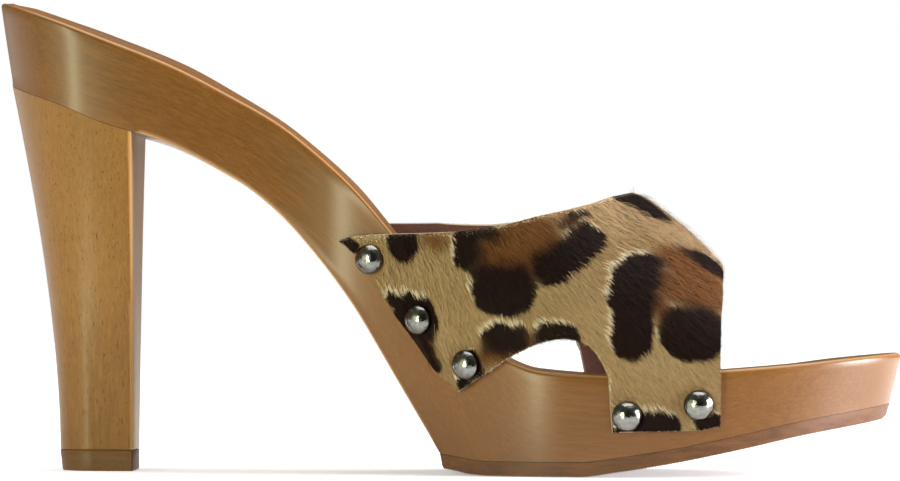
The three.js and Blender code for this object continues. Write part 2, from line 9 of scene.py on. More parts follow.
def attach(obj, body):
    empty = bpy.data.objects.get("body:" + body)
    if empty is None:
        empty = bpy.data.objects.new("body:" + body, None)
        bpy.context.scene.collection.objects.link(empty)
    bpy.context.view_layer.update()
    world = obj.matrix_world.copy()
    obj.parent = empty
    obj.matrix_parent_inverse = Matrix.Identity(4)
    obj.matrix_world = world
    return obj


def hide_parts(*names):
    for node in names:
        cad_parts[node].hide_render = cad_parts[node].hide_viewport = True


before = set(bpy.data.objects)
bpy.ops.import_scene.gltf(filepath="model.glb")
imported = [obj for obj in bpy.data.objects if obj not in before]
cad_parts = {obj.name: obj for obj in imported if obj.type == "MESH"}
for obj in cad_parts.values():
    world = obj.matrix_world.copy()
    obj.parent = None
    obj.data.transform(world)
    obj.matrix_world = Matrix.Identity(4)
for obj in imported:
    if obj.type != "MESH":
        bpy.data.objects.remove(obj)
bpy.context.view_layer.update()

# The shapes are worked out in millimetres with x from the back of the heel, as in the part's
# source, and are then moved to the frame and turned into metres.
TO_FRAME = np.array([-110.0, 0.08, 0.0])

SOLE_LENGTH = 220.0
HEEL_HEIGHT = 113.9
PLATFORM_HEIGHT = 24.0
TOE_HEIGHT = 29.9
SOLE_THICKNESS = 20.0
INNER_RIM_RAISE = 2.9
SEAT_HALF_WIDTH = 27.0
HEEL_CUP_DEPTH = 4.0
RIM_ROUND = 1.2
RIM_LAND = 1.5
ARCH_CHAMFER = 1.2
OUTSOLE_THICKNESS = 3.3
TOE_SPRING = 14.5
REAR_LIFT = 1.6
REAR_UNDERCUT = 1.1
TOE_UNDERCUT = 2.0
TIP_HEIGHT = 5.0
TIP_UNDERCUT = 0.6
HEEL_BREAST = 33.6
HEEL_FOOT_BACK = 15.1
HEEL_FOOT_HALF = 11.5
HEEL_FLARE = 1.7
SEAM = 0.3
FINE_SEAM = 0.08

OUTER = {"sign": -1.0, "waist": 20.5, "ball": 43.0, "ball_at": 0.627 * SOLE_LENGTH}
INNER = {"sign": 1.0, "waist": 21.0, "ball": 42.5, "ball_at": 0.72 * SOLE_LENGTH}
SEAT_AT = 0.1 * SOLE_LENGTH
WAIST_AT = 0.364 * SOLE_LENGTH
TOE_TIP = 6.0
HEEL_ROUNDNESS = 2.2
TOE_ROUNDNESS = 2.5

UPPER_LENGTH = 90.1
UPPER_FRONT = 173.6
FRONT_BOW = 1.9
VAMP_HEIGHT = 43.5
RIDGE_OFFSET = 5.0
FRONT_FLANGE_LENGTH = 25.0
FRONT_FLANGE_DROP = 13.1
REAR_FLANGE_DROP = 17.8
OPENING_RISE = 8.7
INNER_SHIFT = 3.6
INNER_RAISE = 3.6
LEATHER = 1.6
CAD_LEATHER = 2.2
WALL_SHARE = 0.14
WALL_DEPTH = REAR_FLANGE_DROP * 1.6

STUD_RADIUS = 3.55
STUD_CAP_TOP = 4.75
HAIRS = 64000
EDGE_HAIRS = 1500

# Side view of the sole: along, seat, toe, thick, raise, cup.
PROFILE = [
    (0.0, 1.0, 0.0, 0.97, 0.0, 1.0),
    (0.035, 0.968, 0.0, 0.99, 0.8, 1.0),
    (0.074, 0.933, 0.0, 0.99, 0.95, 1.0),
    (0.115, 0.895, 0.0, 1.01, 1.05, 1.0),
    (0.194, 0.82, 0.0, 0.95, 1.0, 0.8),
    (0.267, 0.73, 0.0, 0.975, 0.75, 0.6),
    (0.31, 0.67, 0.0, 1.07, 0.6, 0.5),
    (0.351, 0.593, 0.0, 1.215, 0.55, 0.45),
    (0.394, 0.496, 0.0, 1.41, 0.6, 0.4),
    (0.435, 0.38, 0.0, 1.635, 0.5, 0.4),
    (0.468, 0.285, 0.0, 1.815, 0.4, 0.4),
    (0.5, 0.192, 0.0, 1.97, 0.4, 0.4),
    (0.532, 0.109, 0.0, 2.1, 0.35, 0.4),
    (0.567, 0.036, 0.0, 2.2, 0.25, 0.4),
    (0.601, 0.011, 0.0, 2.3, 0.1, 0.38),
    (0.682, 0.0, 0.0, 2.3, 0.0, 0.32),
    (0.807, 0.0, 0.3, 2.3, -0.2, 0.25),
    (0.878, 0.0, 0.53, 2.3, -0.2, 0.2),
    (0.933, 0.0, 0.76, 2.3, -0.1, 0.15),
    (1.0, 0.0, 1.0, 2.3, 0.0, 0.1),
]
# Side view of the tread: along, toe, rear.
TREAD = [
    (0.49, 0.0, 1.0),
    (0.508, 0.0, 0.6),
    (0.522, 0.0, 0.2),
    (0.545, 0.0, 0.0),
    (0.641, 0.0, 0.0),
    (0.678, 0.07, 0.0),
    (0.741, 0.225, 0.0),
    (0.814, 0.455, 0.0),
    (0.886, 0.7, 0.0),
    (1.0, 1.0, 0.0),
]
# Lean of the sole's sides: along, draft.
LEAN = [(0.0, 0.16), (0.12, 0.1), (0.3, 0.08), (0.85, 0.08), (1.0, 0.24)]
# The last's ridge line: behind the front edge, rise.
RIDGE = [
    (1.072, 1.5), (0.755, 1.6), (0.596, 1.57), (0.484, 1.46), (0.374, 1.29), (0.262, 1.1),
    (0.183, 1.0), (0.11, 0.88), (0.044, 0.75), (-0.019, 0.61), (-0.075, 0.52),
]
# The throat's edge: behind the front edge, climb.
THROAT = [
    (1.004, 0.0), (0.965, 0.1), (0.889, 0.13), (0.726, 0.15), (0.569, 0.27), (0.482, 0.43),
    (0.356, 0.66), (0.286, 0.84), (0.198, 1.0), (0.071, 1.4),
]
# The side opening's edge: back from its front end, rise.
OPENING = [
    (0.028, 0.0), (0.073, 0.38), (0.126, 0.71), (0.207, 0.93), (0.342, 1.0), (0.448, 0.92),
    (0.583, 0.7), (0.77, 0.24),
]
# The rear flange's edge from its lower point to its upper one: back, rise.
REAR_EDGE = [
    (0.0, 0.0), (0.173, 0.122), (0.316, 0.283), (0.486, 0.465), (0.874, 0.918), (1.0, 1.0),
]
# The upper's front edge: height, out.
FRONT_EDGE = [(0.1, 0.0), (0.3, 0.12), (0.48, 0.5), (0.62, 1.0)]
# Studs: behind, drop, length and drop of the flange that each one holds.
STUDS = [
    (0.911, 0.65, UPPER_LENGTH, REAR_FLANGE_DROP),
    (0.776, 0.65, UPPER_LENGTH, REAR_FLANGE_DROP),
    (0.65, 0.52, UPPER_LENGTH, REAR_FLANGE_DROP),
    (0.872, 0.71, FRONT_FLANGE_LENGTH, FRONT_FLANGE_DROP),
    (0.204, 0.58, FRONT_FLANGE_LENGTH, FRONT_FLANGE_DROP),
]


def mix(a, b, t):
    return a + (b - a) * t


def ease(t):
    return (1 - np.cos(np.pi * np.clip(t, 0, 1))) / 2


def smooth(low, high, value):
    t = np.clip((value - low) / (high - low), 0, 1)
    return t * t * (3 - 2 * t)


def arc(u, power):
    return np.maximum(0, 1 - np.clip(u, 0, 1) ** power) ** (1 / power)


def line(xs, ys):
    """A monotone cubic through points whose xs rise."""
    xs = np.asarray(xs, float)
    ys = np.asarray(ys, float)
    steps = np.diff(ys) / np.diff(xs)
    before, after = steps[:-1], steps[1:]
    total = before + after
    inside = np.where(before * after > 0, 2 * before * after / np.where(total == 0, 1, total), 0)
    slopes = np.concatenate([[steps[0]], inside, [steps[-1]]])

    def at(x):
        x = np.clip(x, xs[0], xs[-1])
        i = np.clip(np.searchsorted(xs, x, side="right") - 1, 0, len(xs) - 2)
        width = xs[i + 1] - xs[i]
        t = (x - xs[i]) / width
        bend = (t**3 - 2 * t**2 + t) * slopes[i] + (t**3 - t**2) * slopes[i + 1]
        return mix(ys[i], ys[i + 1], 3 * t**2 - 2 * t**3) + width * bend

    return at


def column(rows, n, place):
    rows = sorted(rows, key=lambda row: place(row[0]))
    return line([place(row[0]) for row in rows], [row[n] for row in rows])


def along_sole(share):
    return share * SOLE_LENGTH


def behind_front(share):
    return UPPER_FRONT - share * UPPER_LENGTH


seat_share = column(PROFILE, 1, along_sole)
toe_share = column(PROFILE, 2, along_sole)
thick_share = column(PROFILE, 3, along_sole)
raise_share = column(PROFILE, 4, along_sole)
cup_share = column(PROFILE, 5, along_sole)
draft_at = column(LEAN, 1, along_sole)
tread_toe = column(TREAD, 1, along_sole)
tread_rear = column(TREAD, 2, along_sole)
ridge_share = column(RIDGE, 1, behind_front)
throat_share = column(THROAT, 1, behind_front)


def rim_z(x, side):
    climb = (HEEL_HEIGHT - PLATFORM_HEIGHT) * seat_share(x)
    lift = (TOE_HEIGHT - PLATFORM_HEIGHT) * toe_share(x)
    inner_raise = INNER_RIM_RAISE * raise_share(x) if side["sign"] > 0 else 0.0
    return PLATFORM_HEIGHT + climb + lift + inner_raise


def tread_z(x):
    return TOE_SPRING * tread_toe(x) + REAR_LIFT * tread_rear(x)


def outsole_top(x):
    return tread_z(x) + OUTSOLE_THICKNESS


def arch_z(x):
    return rim_z(x, OUTER) - SOLE_THICKNESS * thick_share(x)


def sole_under(x):
    return np.maximum(arch_z(x), outsole_top(x) + SEAM)


_search = np.linspace(WAIST_AT, OUTER["ball_at"], 4000)
ARCH_END = _search[np.argmax(arch_z(_search) <= outsole_top(_search) + SEAM)]


def outline_y(x, side):
    x = np.asarray(x, float)
    sign = side["sign"]
    seat = SEAT_HALF_WIDTH * arc((SEAT_AT - x) / SEAT_AT, HEEL_ROUNDNESS)
    waist = mix(SEAT_HALF_WIDTH, side["waist"], ease((x - SEAT_AT) / (WAIST_AT - SEAT_AT)))
    reach = side["ball_at"] - WAIST_AT
    ball = mix(side["waist"], side["ball"], ease((x - WAIST_AT) / reach))
    u = (x - side["ball_at"]) / (SOLE_LENGTH - side["ball_at"])
    toe = mix(TOE_TIP, sign * side["ball"], arc(np.clip(u, 0, 1), TOE_ROUNDNESS))
    places = [x < SEAT_AT, x < WAIST_AT, x < side["ball_at"]]
    return np.select(places, [sign * seat, sign * waist, sign * ball], toe)


def wall_inset(x, depth):
    return draft_at(x) * np.maximum(0, depth - RIM_ROUND)


# Meshes


def put(name, data):
    obj = bpy.data.objects.new(name, data)
    bpy.context.scene.collection.objects.link(obj)
    return obj


def make_object(name, points, faces, smooth_angle=35.0, merge=True, attributes=None):
    """A mesh object from points in millimetres of the source's frame."""
    mesh = bpy.data.meshes.new(name)
    places = (np.asarray(points, float) + TO_FRAME) * 0.001
    mesh.from_pydata(places.tolist(), [], faces)
    for key, values in (attributes or {}).items():
        kind = "FLOAT_COLOR" if values.shape[1] == 4 else "FLOAT_VECTOR"
        layer = mesh.attributes.new(key, kind, "POINT")
        layer.data.foreach_set("color" if kind == "FLOAT_COLOR" else "vector", values.ravel())
    if merge:
        work = bmesh.new()
        work.from_mesh(mesh)
        bmesh.ops.remove_doubles(work, verts=work.verts, dist=2e-6)
        bmesh.ops.dissolve_degenerate(work, edges=work.edges, dist=1e-7)
        bmesh.ops.recalc_face_normals(work, faces=work.faces)
        work.to_mesh(mesh)
        work.free()
    mesh.shade_smooth()
    if smooth_angle:
        mesh.set_sharp_from_angle(angle=math.radians(smooth_angle))
    return put(name, mesh)


def ring_faces(rings, size, closed_ends):
    faces = []
    for r in range(rings - 1):
        for i in range(size):
            j = (i + 1) % size
            faces.append((r * size + i, r * size + j, (r + 1) * size + j, (r + 1) * size + i))
    if closed_ends:
        last = (rings - 1) * size
        for i in range(size // 2 - 1):
            a, b, c, d = i, i + 1, size - 2 - i, size - 1 - i
            faces.append((d, c, b, a))
            faces.append((last + a, last + b, last + c, last + d))
    return faces


def sole_stations(counts):
    parts = []
    turn = np.arange(counts[0]) / counts[0] * np.pi / 2
    parts.append(SEAT_AT * (1 - np.cos(turn) ** (2 / HEEL_ROUNDNESS)))
    parts.append(mix(SEAT_AT, ARCH_END, np.arange(counts[1]) / counts[1]))
    parts.append(mix(ARCH_END, OUTER["ball_at"], np.arange(counts[2]) / counts[2]))
    turn = np.arange(counts[3] + 1) / counts[3] * np.pi / 2
    parts.append(mix(OUTER["ball_at"], SOLE_LENGTH, np.sin(turn) ** (2 / TOE_ROUNDNESS)))
    return np.concatenate(parts)


STATIONS = sole_stations((40, 100, 30, 70))


def outline_normals(side):
    """The direction in which each outline point's side is set in."""
    other = INNER if side is OUTER else OUTER
    xs = STATIONS
    own = np.stack([xs, outline_y(xs, side)], 1)
    far = np.stack([xs, outline_y(xs, other)], 1)
    before = np.vstack([far[1:2], own[:-1]])
    after = np.vstack([own[1:], far[-2:-1]])
    step = after - before
    step /= np.linalg.norm(step, axis=1)[:, None]
    normal = side["sign"] * np.stack([-step[:, 1], step[:, 0]], 1)
    normal[0] = (-1.0, 0.0)
    middle = (xs >= SEAT_AT) & (xs <= side["ball_at"])
    normal[middle] = np.stack([np.zeros(middle.sum()), 1 / normal[middle, 1]], 1)
    return own, normal


OUTLINES = {"outer": outline_normals(OUTER), "inner": outline_normals(INNER)}
OUTLINES["inner"][1][-1] = OUTLINES["outer"][1][-1]


def inset(side_name, amount, height):
    """The side's outline moved in by amount, at the height that a function gives."""
    point, normal = OUTLINES[side_name]
    flat = point - normal * np.asarray(amount)[..., None]
    return np.stack([flat[:, 0], flat[:, 1], height(flat[:, 0])], 1)


SOLE_DEPTH = rim_z(STATIONS, OUTER) - sole_under(STATIONS)
EDGE = {
    name: inset(name, wall_inset(STATIONS, SOLE_DEPTH), sole_under)
    for name in ("outer", "inner")
}


def sole_mesh():
    """The board: rounded rim, chamfered arch edge, hollowed bed, and grain along its length."""
    walls, bed_points, under_points = 10, 28, 7
    fade, narrowing, roundness = 2.5, 1.5, 2.4
    xs = STATIONS
    depth = SOLE_DEPTH
    chamfer = ARCH_CHAMFER * smooth(HEEL_BREAST, HEEL_BREAST + fade, xs)
    chamfer *= 1 - smooth(ARCH_END - fade, ARCH_END, xs)
    ends = np.zeros(len(xs), bool)
    ends[[0, -1]] = True
    columns = {}
    for name, side in (("outer", OUTER), ("inner", INNER)):
        def rim(at, side=side):
            return np.where(ends, rim_z(at, OUTER), rim_z(at, side))

        rows = []
        for turn in np.linspace(0, np.pi / 2, 4):
            rise = chamfer * (1 - np.cos(turn))
            amount = wall_inset(xs, depth - rise) + chamfer * (1 - np.sin(turn))
            rows.append(inset(name, amount, lambda at, rise=rise: sole_under(at) + rise))
        low = rows[-1][:, 2]
        for share in np.linspace(0, 1, walls + 1)[1:]:
            high = rim(xs) - RIM_ROUND
            z = mix(low, high, share)
            amount = wall_inset(xs, rim(xs) - z)
            rows.append(inset(name, amount, lambda at, share=share, low=low: mix(
                low, rim(at) - RIM_ROUND, share)))
        for turn in np.linspace(0, np.pi / 2, 6)[1:]:
            amount = RIM_ROUND * (1 - np.cos(turn)) + 0 * xs
            rows.append(inset(name, amount, lambda at, turn=turn: rim(at) - RIM_ROUND * (
                1 - np.sin(turn))))
        rows.append(inset(name, RIM_ROUND + RIM_LAND + 0 * xs, rim))
        columns[name] = np.stack(rows, 1)
    half = (outline_y(xs, INNER) - outline_y(xs, OUTER)) / 2
    ballward = ease((xs - WAIST_AT) / (OUTER["ball_at"] - WAIST_AT))
    reach = mix(SEAT_HALF_WIDTH, OUTER["ball"], ballward)
    cup = HEEL_CUP_DEPTH * cup_share(xs) * np.minimum(1, half / reach) ** narrowing
    t = (np.arange(1, bed_points) / bed_points)[None, :, None]
    bed = mix(columns["outer"][:, -1:, :], columns["inner"][:, -1:, :], t)
    bed[:, :, 2] -= cup[:, None] * (1 - np.abs(2 * t[:, :, 0] - 1) ** roundness)
    under = mix(columns["inner"][:, :1, :], columns["outer"][:, :1, :],
                np.linspace(0, 1, under_points + 2)[None, 1:-1, None])
    rings = np.concatenate([columns["outer"], bed, columns["inner"][:, ::-1], under], 1)
    size = rings.shape[1]
    run = np.concatenate([[0], np.cumsum(np.hypot(np.diff(xs), np.diff(rim_z(xs, OUTER))))])
    grain = np.empty_like(rings)
    grain[:, :, 0] = run[:, None]
    grain[:, :, 1] = rings[:, :, 1]
    grain[:, :, 2] = rings[:, :, 2] - rim_z(xs, OUTER)[:, None]
    # Painted highlight: the arch's chamfer and the rim's roundness are coloured paler than the
    # rest.
    one_side = np.zeros((len(xs), columns["outer"].shape[1]))
    one_side[:, :4] = np.array([0.2, 1.0, 0.3, 0.0]) * (chamfer / ARCH_CHAMFER)[:, None]
    one_side[:, -5:-1] = (0.2, 0.5, 0.5, 0.2)
    bare = np.zeros((len(xs), bed_points - 1))
    painted_highlight = np.concatenate([one_side, bare, one_side[:, ::-1], bare[:, :under_points]], 1)
    painted_edge_highlight = np.ones((len(xs), size, 4))
    painted_edge_highlight[:, :, :3] = painted_highlight[:, :, None]
    return make_object(
        "sole_board", rings.reshape(-1, 3), ring_faces(len(xs), size, False), 40.0,
        attributes={"grain": grain.reshape(-1, 3), "painted_edge_highlight": painted_edge_highlight.reshape(-1, 4)})


def edge_at(x, name):
    edge = EDGE[name]
    return np.stack([x, np.interp(x, edge[:, 0], edge[:, 1]), sole_under(x)], -1)


def heel_ring(share, height):
    """One closed ring of the heel, with a small chamfer at the breast's two corners."""
    t = np.linspace(0, 1, 41)
    turn, reach, fullness, breast_share = 0.55, 0.45, 0.85, 0.96
    cut, bevel = 0.8, 0.3
    angle = np.pi / 2 * np.minimum(1, t / turn)
    turned = mix(HEEL_FOOT_BACK, HEEL_BREAST, reach * (1 - np.cos(angle)))
    straight = np.maximum(0, (t - turn) / (1 - turn))
    foot_x = mix(turned, HEEL_BREAST, straight)
    foot_y = HEEL_FOOT_HALF * np.sin(angle) ** fullness * mix(1, breast_share, straight)
    halves = []
    flare = share**HEEL_FLARE
    for name, sign in (("outer", -1.0), ("inner", 1.0)):
        back = EDGE[name][0, 0]
        top_x = mix(back, HEEL_BREAST, 1 - np.cos(np.pi / 2 * t))
        top_y = edge_at(top_x, name)[:, 1]
        x = mix(foot_x, top_x, flare)
        y = mix(sign * foot_y, top_y, flare)
        x = np.append(x[:-1], [HEEL_BREAST - cut, HEEL_BREAST - cut * bevel, HEEL_BREAST])
        y = np.append(y[:-1], [y[-1], y[-1] - sign * cut * bevel, y[-1] - sign * cut])
        order = np.argsort(x[-6:], kind="stable")
        x[-6:], y[-6:] = x[-6:][order], y[-6:][order]
        halves.append(np.stack([x, y, height(x)], 1))
    return np.concatenate([halves[0], halves[1][::-1]])


def heel_mesh():
    """The heel's block, with upright grain and a slightly bevelled lower edge."""
    levels, first_rise, rounding, inset_share = 44, 0.02, 0.25, 0.02
    foot = TIP_HEIGHT + FINE_SEAM
    rings = [heel_ring(0.0, lambda x: foot + first_rise + 0 * x)]
    for i in range(levels + 1):
        share = i / levels
        rings.append(heel_ring(share, lambda x, share=share: mix(
            foot + rounding, sole_under(x) - FINE_SEAM, share)))
    rings[0][:, :2] = mix(rings[0][:, :2], rings[0][:, :2].mean(0), inset_share)
    points = np.concatenate(rings)
    grain = points[:, [2, 0, 1]]
    faces = ring_faces(len(rings), len(rings[0]), True)
    # Painted highlight: the breast's two corners are coloured paler than the rest.
    size = len(rings[0])
    painted_edge_highlight = np.zeros((len(rings), size, 4))
    painted_edge_highlight[:, size // 2 - 3:size // 2 + 3, :3] = np.array([0.4, 1.0, 0.4, 0.4, 1.0, 0.4])[:, None]
    painted_edge_highlight[:, :, 3] = 1.0
    return make_object("heel_block", points, faces, 40.0,
                       attributes={"grain": grain, "painted_edge_highlight": painted_edge_highlight.reshape(-1, 4)})


def tip_mesh():
    """The heel tip: undercut at the back, its edges rounded."""
    rings = []
    for z, shrink in [(0.0, 0.03), (0.25, 0.006), (0.6, 0.0), (4.7, 0.0), (5.0, 0.012)]:
        ring = heel_ring(0.0, lambda x, z=z: z + 0 * x)
        back = (HEEL_BREAST - ring[:, 0]) / (HEEL_BREAST - HEEL_FOOT_BACK)
        ring[:, 0] += TIP_UNDERCUT * back * (1 - z / TIP_HEIGHT)
        middle = ring[:, :2].mean(0)
        ring[:, :2] = mix(ring[:, :2], middle, shrink)
        rings.append(ring)
    points = np.concatenate(rings)
    faces = ring_faces(len(rings), len(rings[0]), True)
    return make_object("heel_tip_rubber", points, faces, 35.0, attributes={"grain": points.copy()})


def outsole_mesh():
    """The tread: fine ribs across it show as a serrated lower edge."""
    rib, rib_depth, plain_end = 0.75, 0.3, 1.5
    rear_reach, side_rise = 3.7, 0.9
    start, tip = ARCH_END, min(EDGE["outer"][-1, 0], EDGE["inner"][-1, 0])
    xs = np.arange(start, tip - plain_end, rib / 2)
    xs = np.concatenate([xs, tip - plain_end * (1 - np.linspace(0, 1, 14) ** 0.5)])
    xs = np.unique(np.round(xs, 4))
    across = np.linspace(0, 1, 13)
    toeward = np.clip((xs - OUTER["ball_at"]) / (SOLE_LENGTH - OUTER["ball_at"]), 0, 1)
    shift = REAR_UNDERCUT * np.clip(1 - (xs - start) / rear_reach, 0, 1)
    shift -= TOE_UNDERCUT * toeward**4
    left, right = edge_at(xs, "outer"), edge_at(xs, "inner")
    rows = []
    for i, x in enumerate(xs):
        y = mix(left[i, 1], right[i, 1], across)
        low_x = np.full_like(y, x + shift[i])
        low_z = tread_z(low_x) + (rib_depth if i % 2 and x < tip - plain_end else 0.0)
        low = np.stack([low_x, y, low_z], 1)
        side = np.stack([low_x * 0.5 + x * 0.5, y, tread_z(low_x) + side_rise], 1)
        top = np.stack([np.full_like(y, x), y, outsole_top(x) + 0 * y + SEAM - FINE_SEAM], 1)
        rows.append(np.concatenate([low, side[-1:], top[::-1], side[:1]]))
    size = len(rows[0])
    points = np.concatenate(rows)
    faces = ring_faces(len(rows), size, False)
    faces.append(tuple(range(size))[::-1])
    faces.append(tuple((len(rows) - 1) * size + i for i in range(size)))
    return make_object("tread", points, faces, 30.0, attributes={"grain": points.copy()})


# The upper


def wall_point(x, side, depth):
    slope = outline_y(x + 0.5, side) - outline_y(x - 0.5, side)
    y = outline_y(x, side) + side["sign"] * np.hypot(1, slope) * (SEAM - wall_inset(x, depth))
    return y, rim_z(x, side) - depth


def upper_point(x, t):
    x, t = np.broadcast_arrays(np.asarray(x, float), np.asarray(t, float))
    low = np.clip(t / WALL_SHARE, 0, 1)
    high = np.clip((1 - t) / WALL_SHARE, 0, 1)
    left_y, left_z = wall_point(x, OUTER, mix(WALL_DEPTH, RIM_ROUND, low))
    right_y, right_z = wall_point(x, INNER, mix(WALL_DEPTH, RIM_ROUND, high))
    angle = np.pi * np.clip((t - WALL_SHARE) / (1 - 2 * WALL_SHARE), 0, 1)
    over = (1 - np.cos(angle)) / 2
    height = VAMP_HEIGHT * ridge_share(x) - CAD_LEATHER + RIM_ROUND
    y = mix(left_y, right_y, over) + RIDGE_OFFSET * np.sin(angle) ** 2
    z = mix(left_z, right_z, over) + height * np.sin(angle)
    return np.stack([x, y, z], -1)


def upper_frame(x, t):
    """Unit vectors along x, up over the foot, and out of the surface."""
    along = upper_point(x + 0.2, t) - upper_point(x - 0.2, t)
    over = upper_point(x, np.minimum(1, t + 0.004)) - upper_point(x, np.maximum(0, t - 0.004))
    out = np.cross(along, over)
    return [v / np.linalg.norm(v, axis=-1)[..., None] for v in (along, over, out)]


THROAT_REAR = behind_front(1)
THROAT_RIDGE = behind_front(0.198)
SPLIT = RIDGE_OFFSET + (INNER["ball"] - OUTER["ball"]) / 2


def throat_line(side):
    """x and height of the throat's edge on one side."""
    x = np.linspace(THROAT_REAR, behind_front(0.071), 300)
    inside = side["sign"] > 0
    rear = rim_z(THROAT_REAR, OUTER) - REAR_FLANGE_DROP * 0.9
    front = rim_z(THROAT_RIDGE, OUTER) + VAMP_HEIGHT
    fade = np.clip((behind_front(0.427) - x) / (0.278 * UPPER_LENGTH), 0, 1)
    z = mix(rear, front, throat_share(x)) + (INNER_RAISE * fade if inside else 0)
    shift = -INNER_SHIFT * ease((THROAT_RIDGE - x) / (0.488 * UPPER_LENGTH))
    return x + (shift if inside else 0), z


def lower_line(side):
    """x and height of the lower edge on one side, from the rear point to the front."""
    inside = side["sign"] > 0
    shift = -INNER_SHIFT if inside else 0.0
    lift = INNER_RAISE if inside else 0.0
    rear_x, rear_z = (v[0] for v in throat_line(side))
    opening_front = UPPER_FRONT - FRONT_FLANGE_LENGTH + shift
    flange_place = behind_front(0.674)
    point_x = flange_place + shift
    point_z = rim_z(flange_place, OUTER) - REAR_FLANGE_DROP + lift
    share = np.linspace(1, 0, 60)
    edge = column(REAR_EDGE, 1, lambda v: v)
    xs = [mix(point_x, rear_x, share)]
    zs = [mix(point_z, rear_z, edge(share))]
    rows = OPENING + [(1.0, (point_z - PLATFORM_HEIGHT) / OPENING_RISE)]
    back = np.linspace(1, 0.028, 120)[1:]
    heights = [PLATFORM_HEIGHT + OPENING_RISE * r[1] + (lift if 0 < r[1] and r[0] < 1 else 0)
               for r in rows]
    curve = line([r[0] for r in rows], heights)
    xs.append(mix(opening_front, point_x, back))
    zs.append(curve(back))
    flange = np.array([
        (opening_front, rim_z(UPPER_FRONT - FRONT_FLANGE_LENGTH, side) - FRONT_FLANGE_DROP),
        (UPPER_FRONT - 0.2 * FRONT_FLANGE_LENGTH, 0.0),
        (UPPER_FRONT + 4.0, 0.0),
    ])
    flange[1, 1] = rim_z(flange[1, 0], side) - 1.03 * FRONT_FLANGE_DROP
    flange[2, 1] = rim_z(UPPER_FRONT, side) - 0.94 * FRONT_FLANGE_DROP
    xs.append(flange[:, 0])
    zs.append(flange[:, 1])
    breaks = (rear_x, point_x, float(mix(opening_front, point_x, 0.028)), opening_front)
    return np.concatenate(xs), np.concatenate(zs), breaks


def share_at_height(x, side, height):
    """t where the surface has the given height, on one side, up to the split."""
    inside = side["sign"] > 0
    ts = np.linspace(0, 1, 1201)
    result = np.empty(len(x))
    ends = np.empty(len(x))
    for i, place in enumerate(x):
        points = upper_point(np.full_like(ts, place), ts)
        middle = ts[np.argmin(np.abs(points[:, 1] - SPLIT) + 100 * (points[:, 2] < 30))]
        keep = ts >= middle if inside else ts <= middle
        z, t = points[keep, 2], ts[keep]
        if inside:
            z, t = z[::-1], t[::-1]
        z = np.maximum.accumulate(z)
        result[i] = np.interp(height[i], z, t)
        ends[i] = middle
    return result, ends


_probe = np.linspace(150.0, 160.0, 81)
_ridge_z = upper_point(_probe, share_at_height(_probe, OUTER, 0 * _probe)[1])[:, 2]
_throat = np.interp(_probe, *throat_line(OUTER))
APEX = float(_probe[np.argmax(_throat >= _ridge_z)])


def front_bow(z):
    heights = [PLATFORM_HEIGHT + h * VAMP_HEIGHT for h, _ in FRONT_EDGE]
    return FRONT_BOW * np.interp(z, heights, [out for _, out in FRONT_EDGE])


def side_grid(side, rows):
    """The kept leather of one side as x and t, one column per place along the shoe."""
    low_x, low_z, breaks = lower_line(side)
    top_x, top_z = throat_line(side)
    rear, point, opening_end, opening_front = breaks
    near = 1 - (1 - np.linspace(0, 1, 27)) ** 2
    xs = np.concatenate([
        mix(rear, point, np.linspace(0, 1, 45) ** 1.3),
        np.linspace(point, opening_end, 58)[1:],
        np.linspace(opening_end, opening_front, 5)[1:],
        mix(opening_front, APEX, near)[1:],
        np.linspace(APEX, UPPER_FRONT, 34)[1:],
    ])
    xs[0] += 0.02
    t_low, _ = share_at_height(xs, side, np.interp(xs, low_x, low_z))
    t_high, middle = share_at_height(xs, side, np.interp(xs, top_x, top_z))
    t_high = np.where(xs >= APEX - 1e-6, middle, t_high)
    r = np.linspace(0, 1, rows)
    t = mix(t_low[:, None], t_high[:, None], r[None, :])
    x = np.repeat(xs[:, None], rows, 1)
    pull = smooth(0.5, 1.0, (x - APEX) / (UPPER_FRONT - APEX))
    for _ in range(3):
        x = xs[:, None] + pull * front_bow(upper_point(x, t)[..., 2])
    return x, t


ROWS = 72
GRIDS = [(OUTER, *side_grid(OUTER, ROWS)), (INNER, *side_grid(INNER, ROWS))]
COLUMNS = GRIDS[0][1].shape[0]


def stud_frames():
    """Each stud's seat on the lining and its direction, outer side first."""
    frames = []
    for side in (OUTER, INNER):
        inside = side["sign"] > 0
        for behind, drop, length, flange in STUDS:
            x = UPPER_FRONT - behind * length - (INNER_SHIFT if inside else 0)
            depth = drop * flange
            share = WALL_SHARE * (WALL_DEPTH - depth) / (WALL_DEPTH - RIM_ROUND)
            t = 1 - share if inside else share
            place = upper_point(x, t)
            frames.append((place, upper_frame(x, t)[2]))
    return frames


STUD_FRAMES = stud_frames()


def wobble(points, wavelength, seed):
    """Smooth noise of about -1 to 1 from a few waves in fixed directions."""
    rng = np.random.default_rng(seed)
    total = np.zeros(points.shape[:-1])
    for _ in range(7):
        direction = rng.normal(size=3)
        direction *= 2 * np.pi / (wavelength * rng.uniform(0.7, 1.5)) / np.linalg.norm(direction)
        total += np.sin(points @ direction + rng.uniform(0, 2 * np.pi))
    return total / 3.2


def press(points):
    """How far the studs' heads press the leather in."""
    depth = np.zeros(points.shape[:-1])
    for place, _ in STUD_FRAMES:
        gap = np.linalg.norm(points - place, axis=-1)
        depth = np.maximum(depth, 0.6 * np.exp(-(gap / 5.0) ** 2))
    return depth


def skin_point(x, t):
    """A point of the leather's outer face, with soft unevenness and the studs' dents."""
    base = upper_point(x, t)
    out = upper_frame(x, t)[2]
    rise = LEATHER - press(base) + 0.12 * wobble(base, 16.0, 5)
    return base + out * rise[..., None]


# Where the camera stands, and where a pixel of its picture lies on the outer side.
CAMERA_AT = np.array([8.0, -1199.92, 34.0])
CAMERA_TARGET = np.array([-0.2, 0.08, 56.47])
CAMERA_ROLL = math.radians(0.35)
PICTURE = (900, 481)
FOCAL_PIXELS = 4915.0


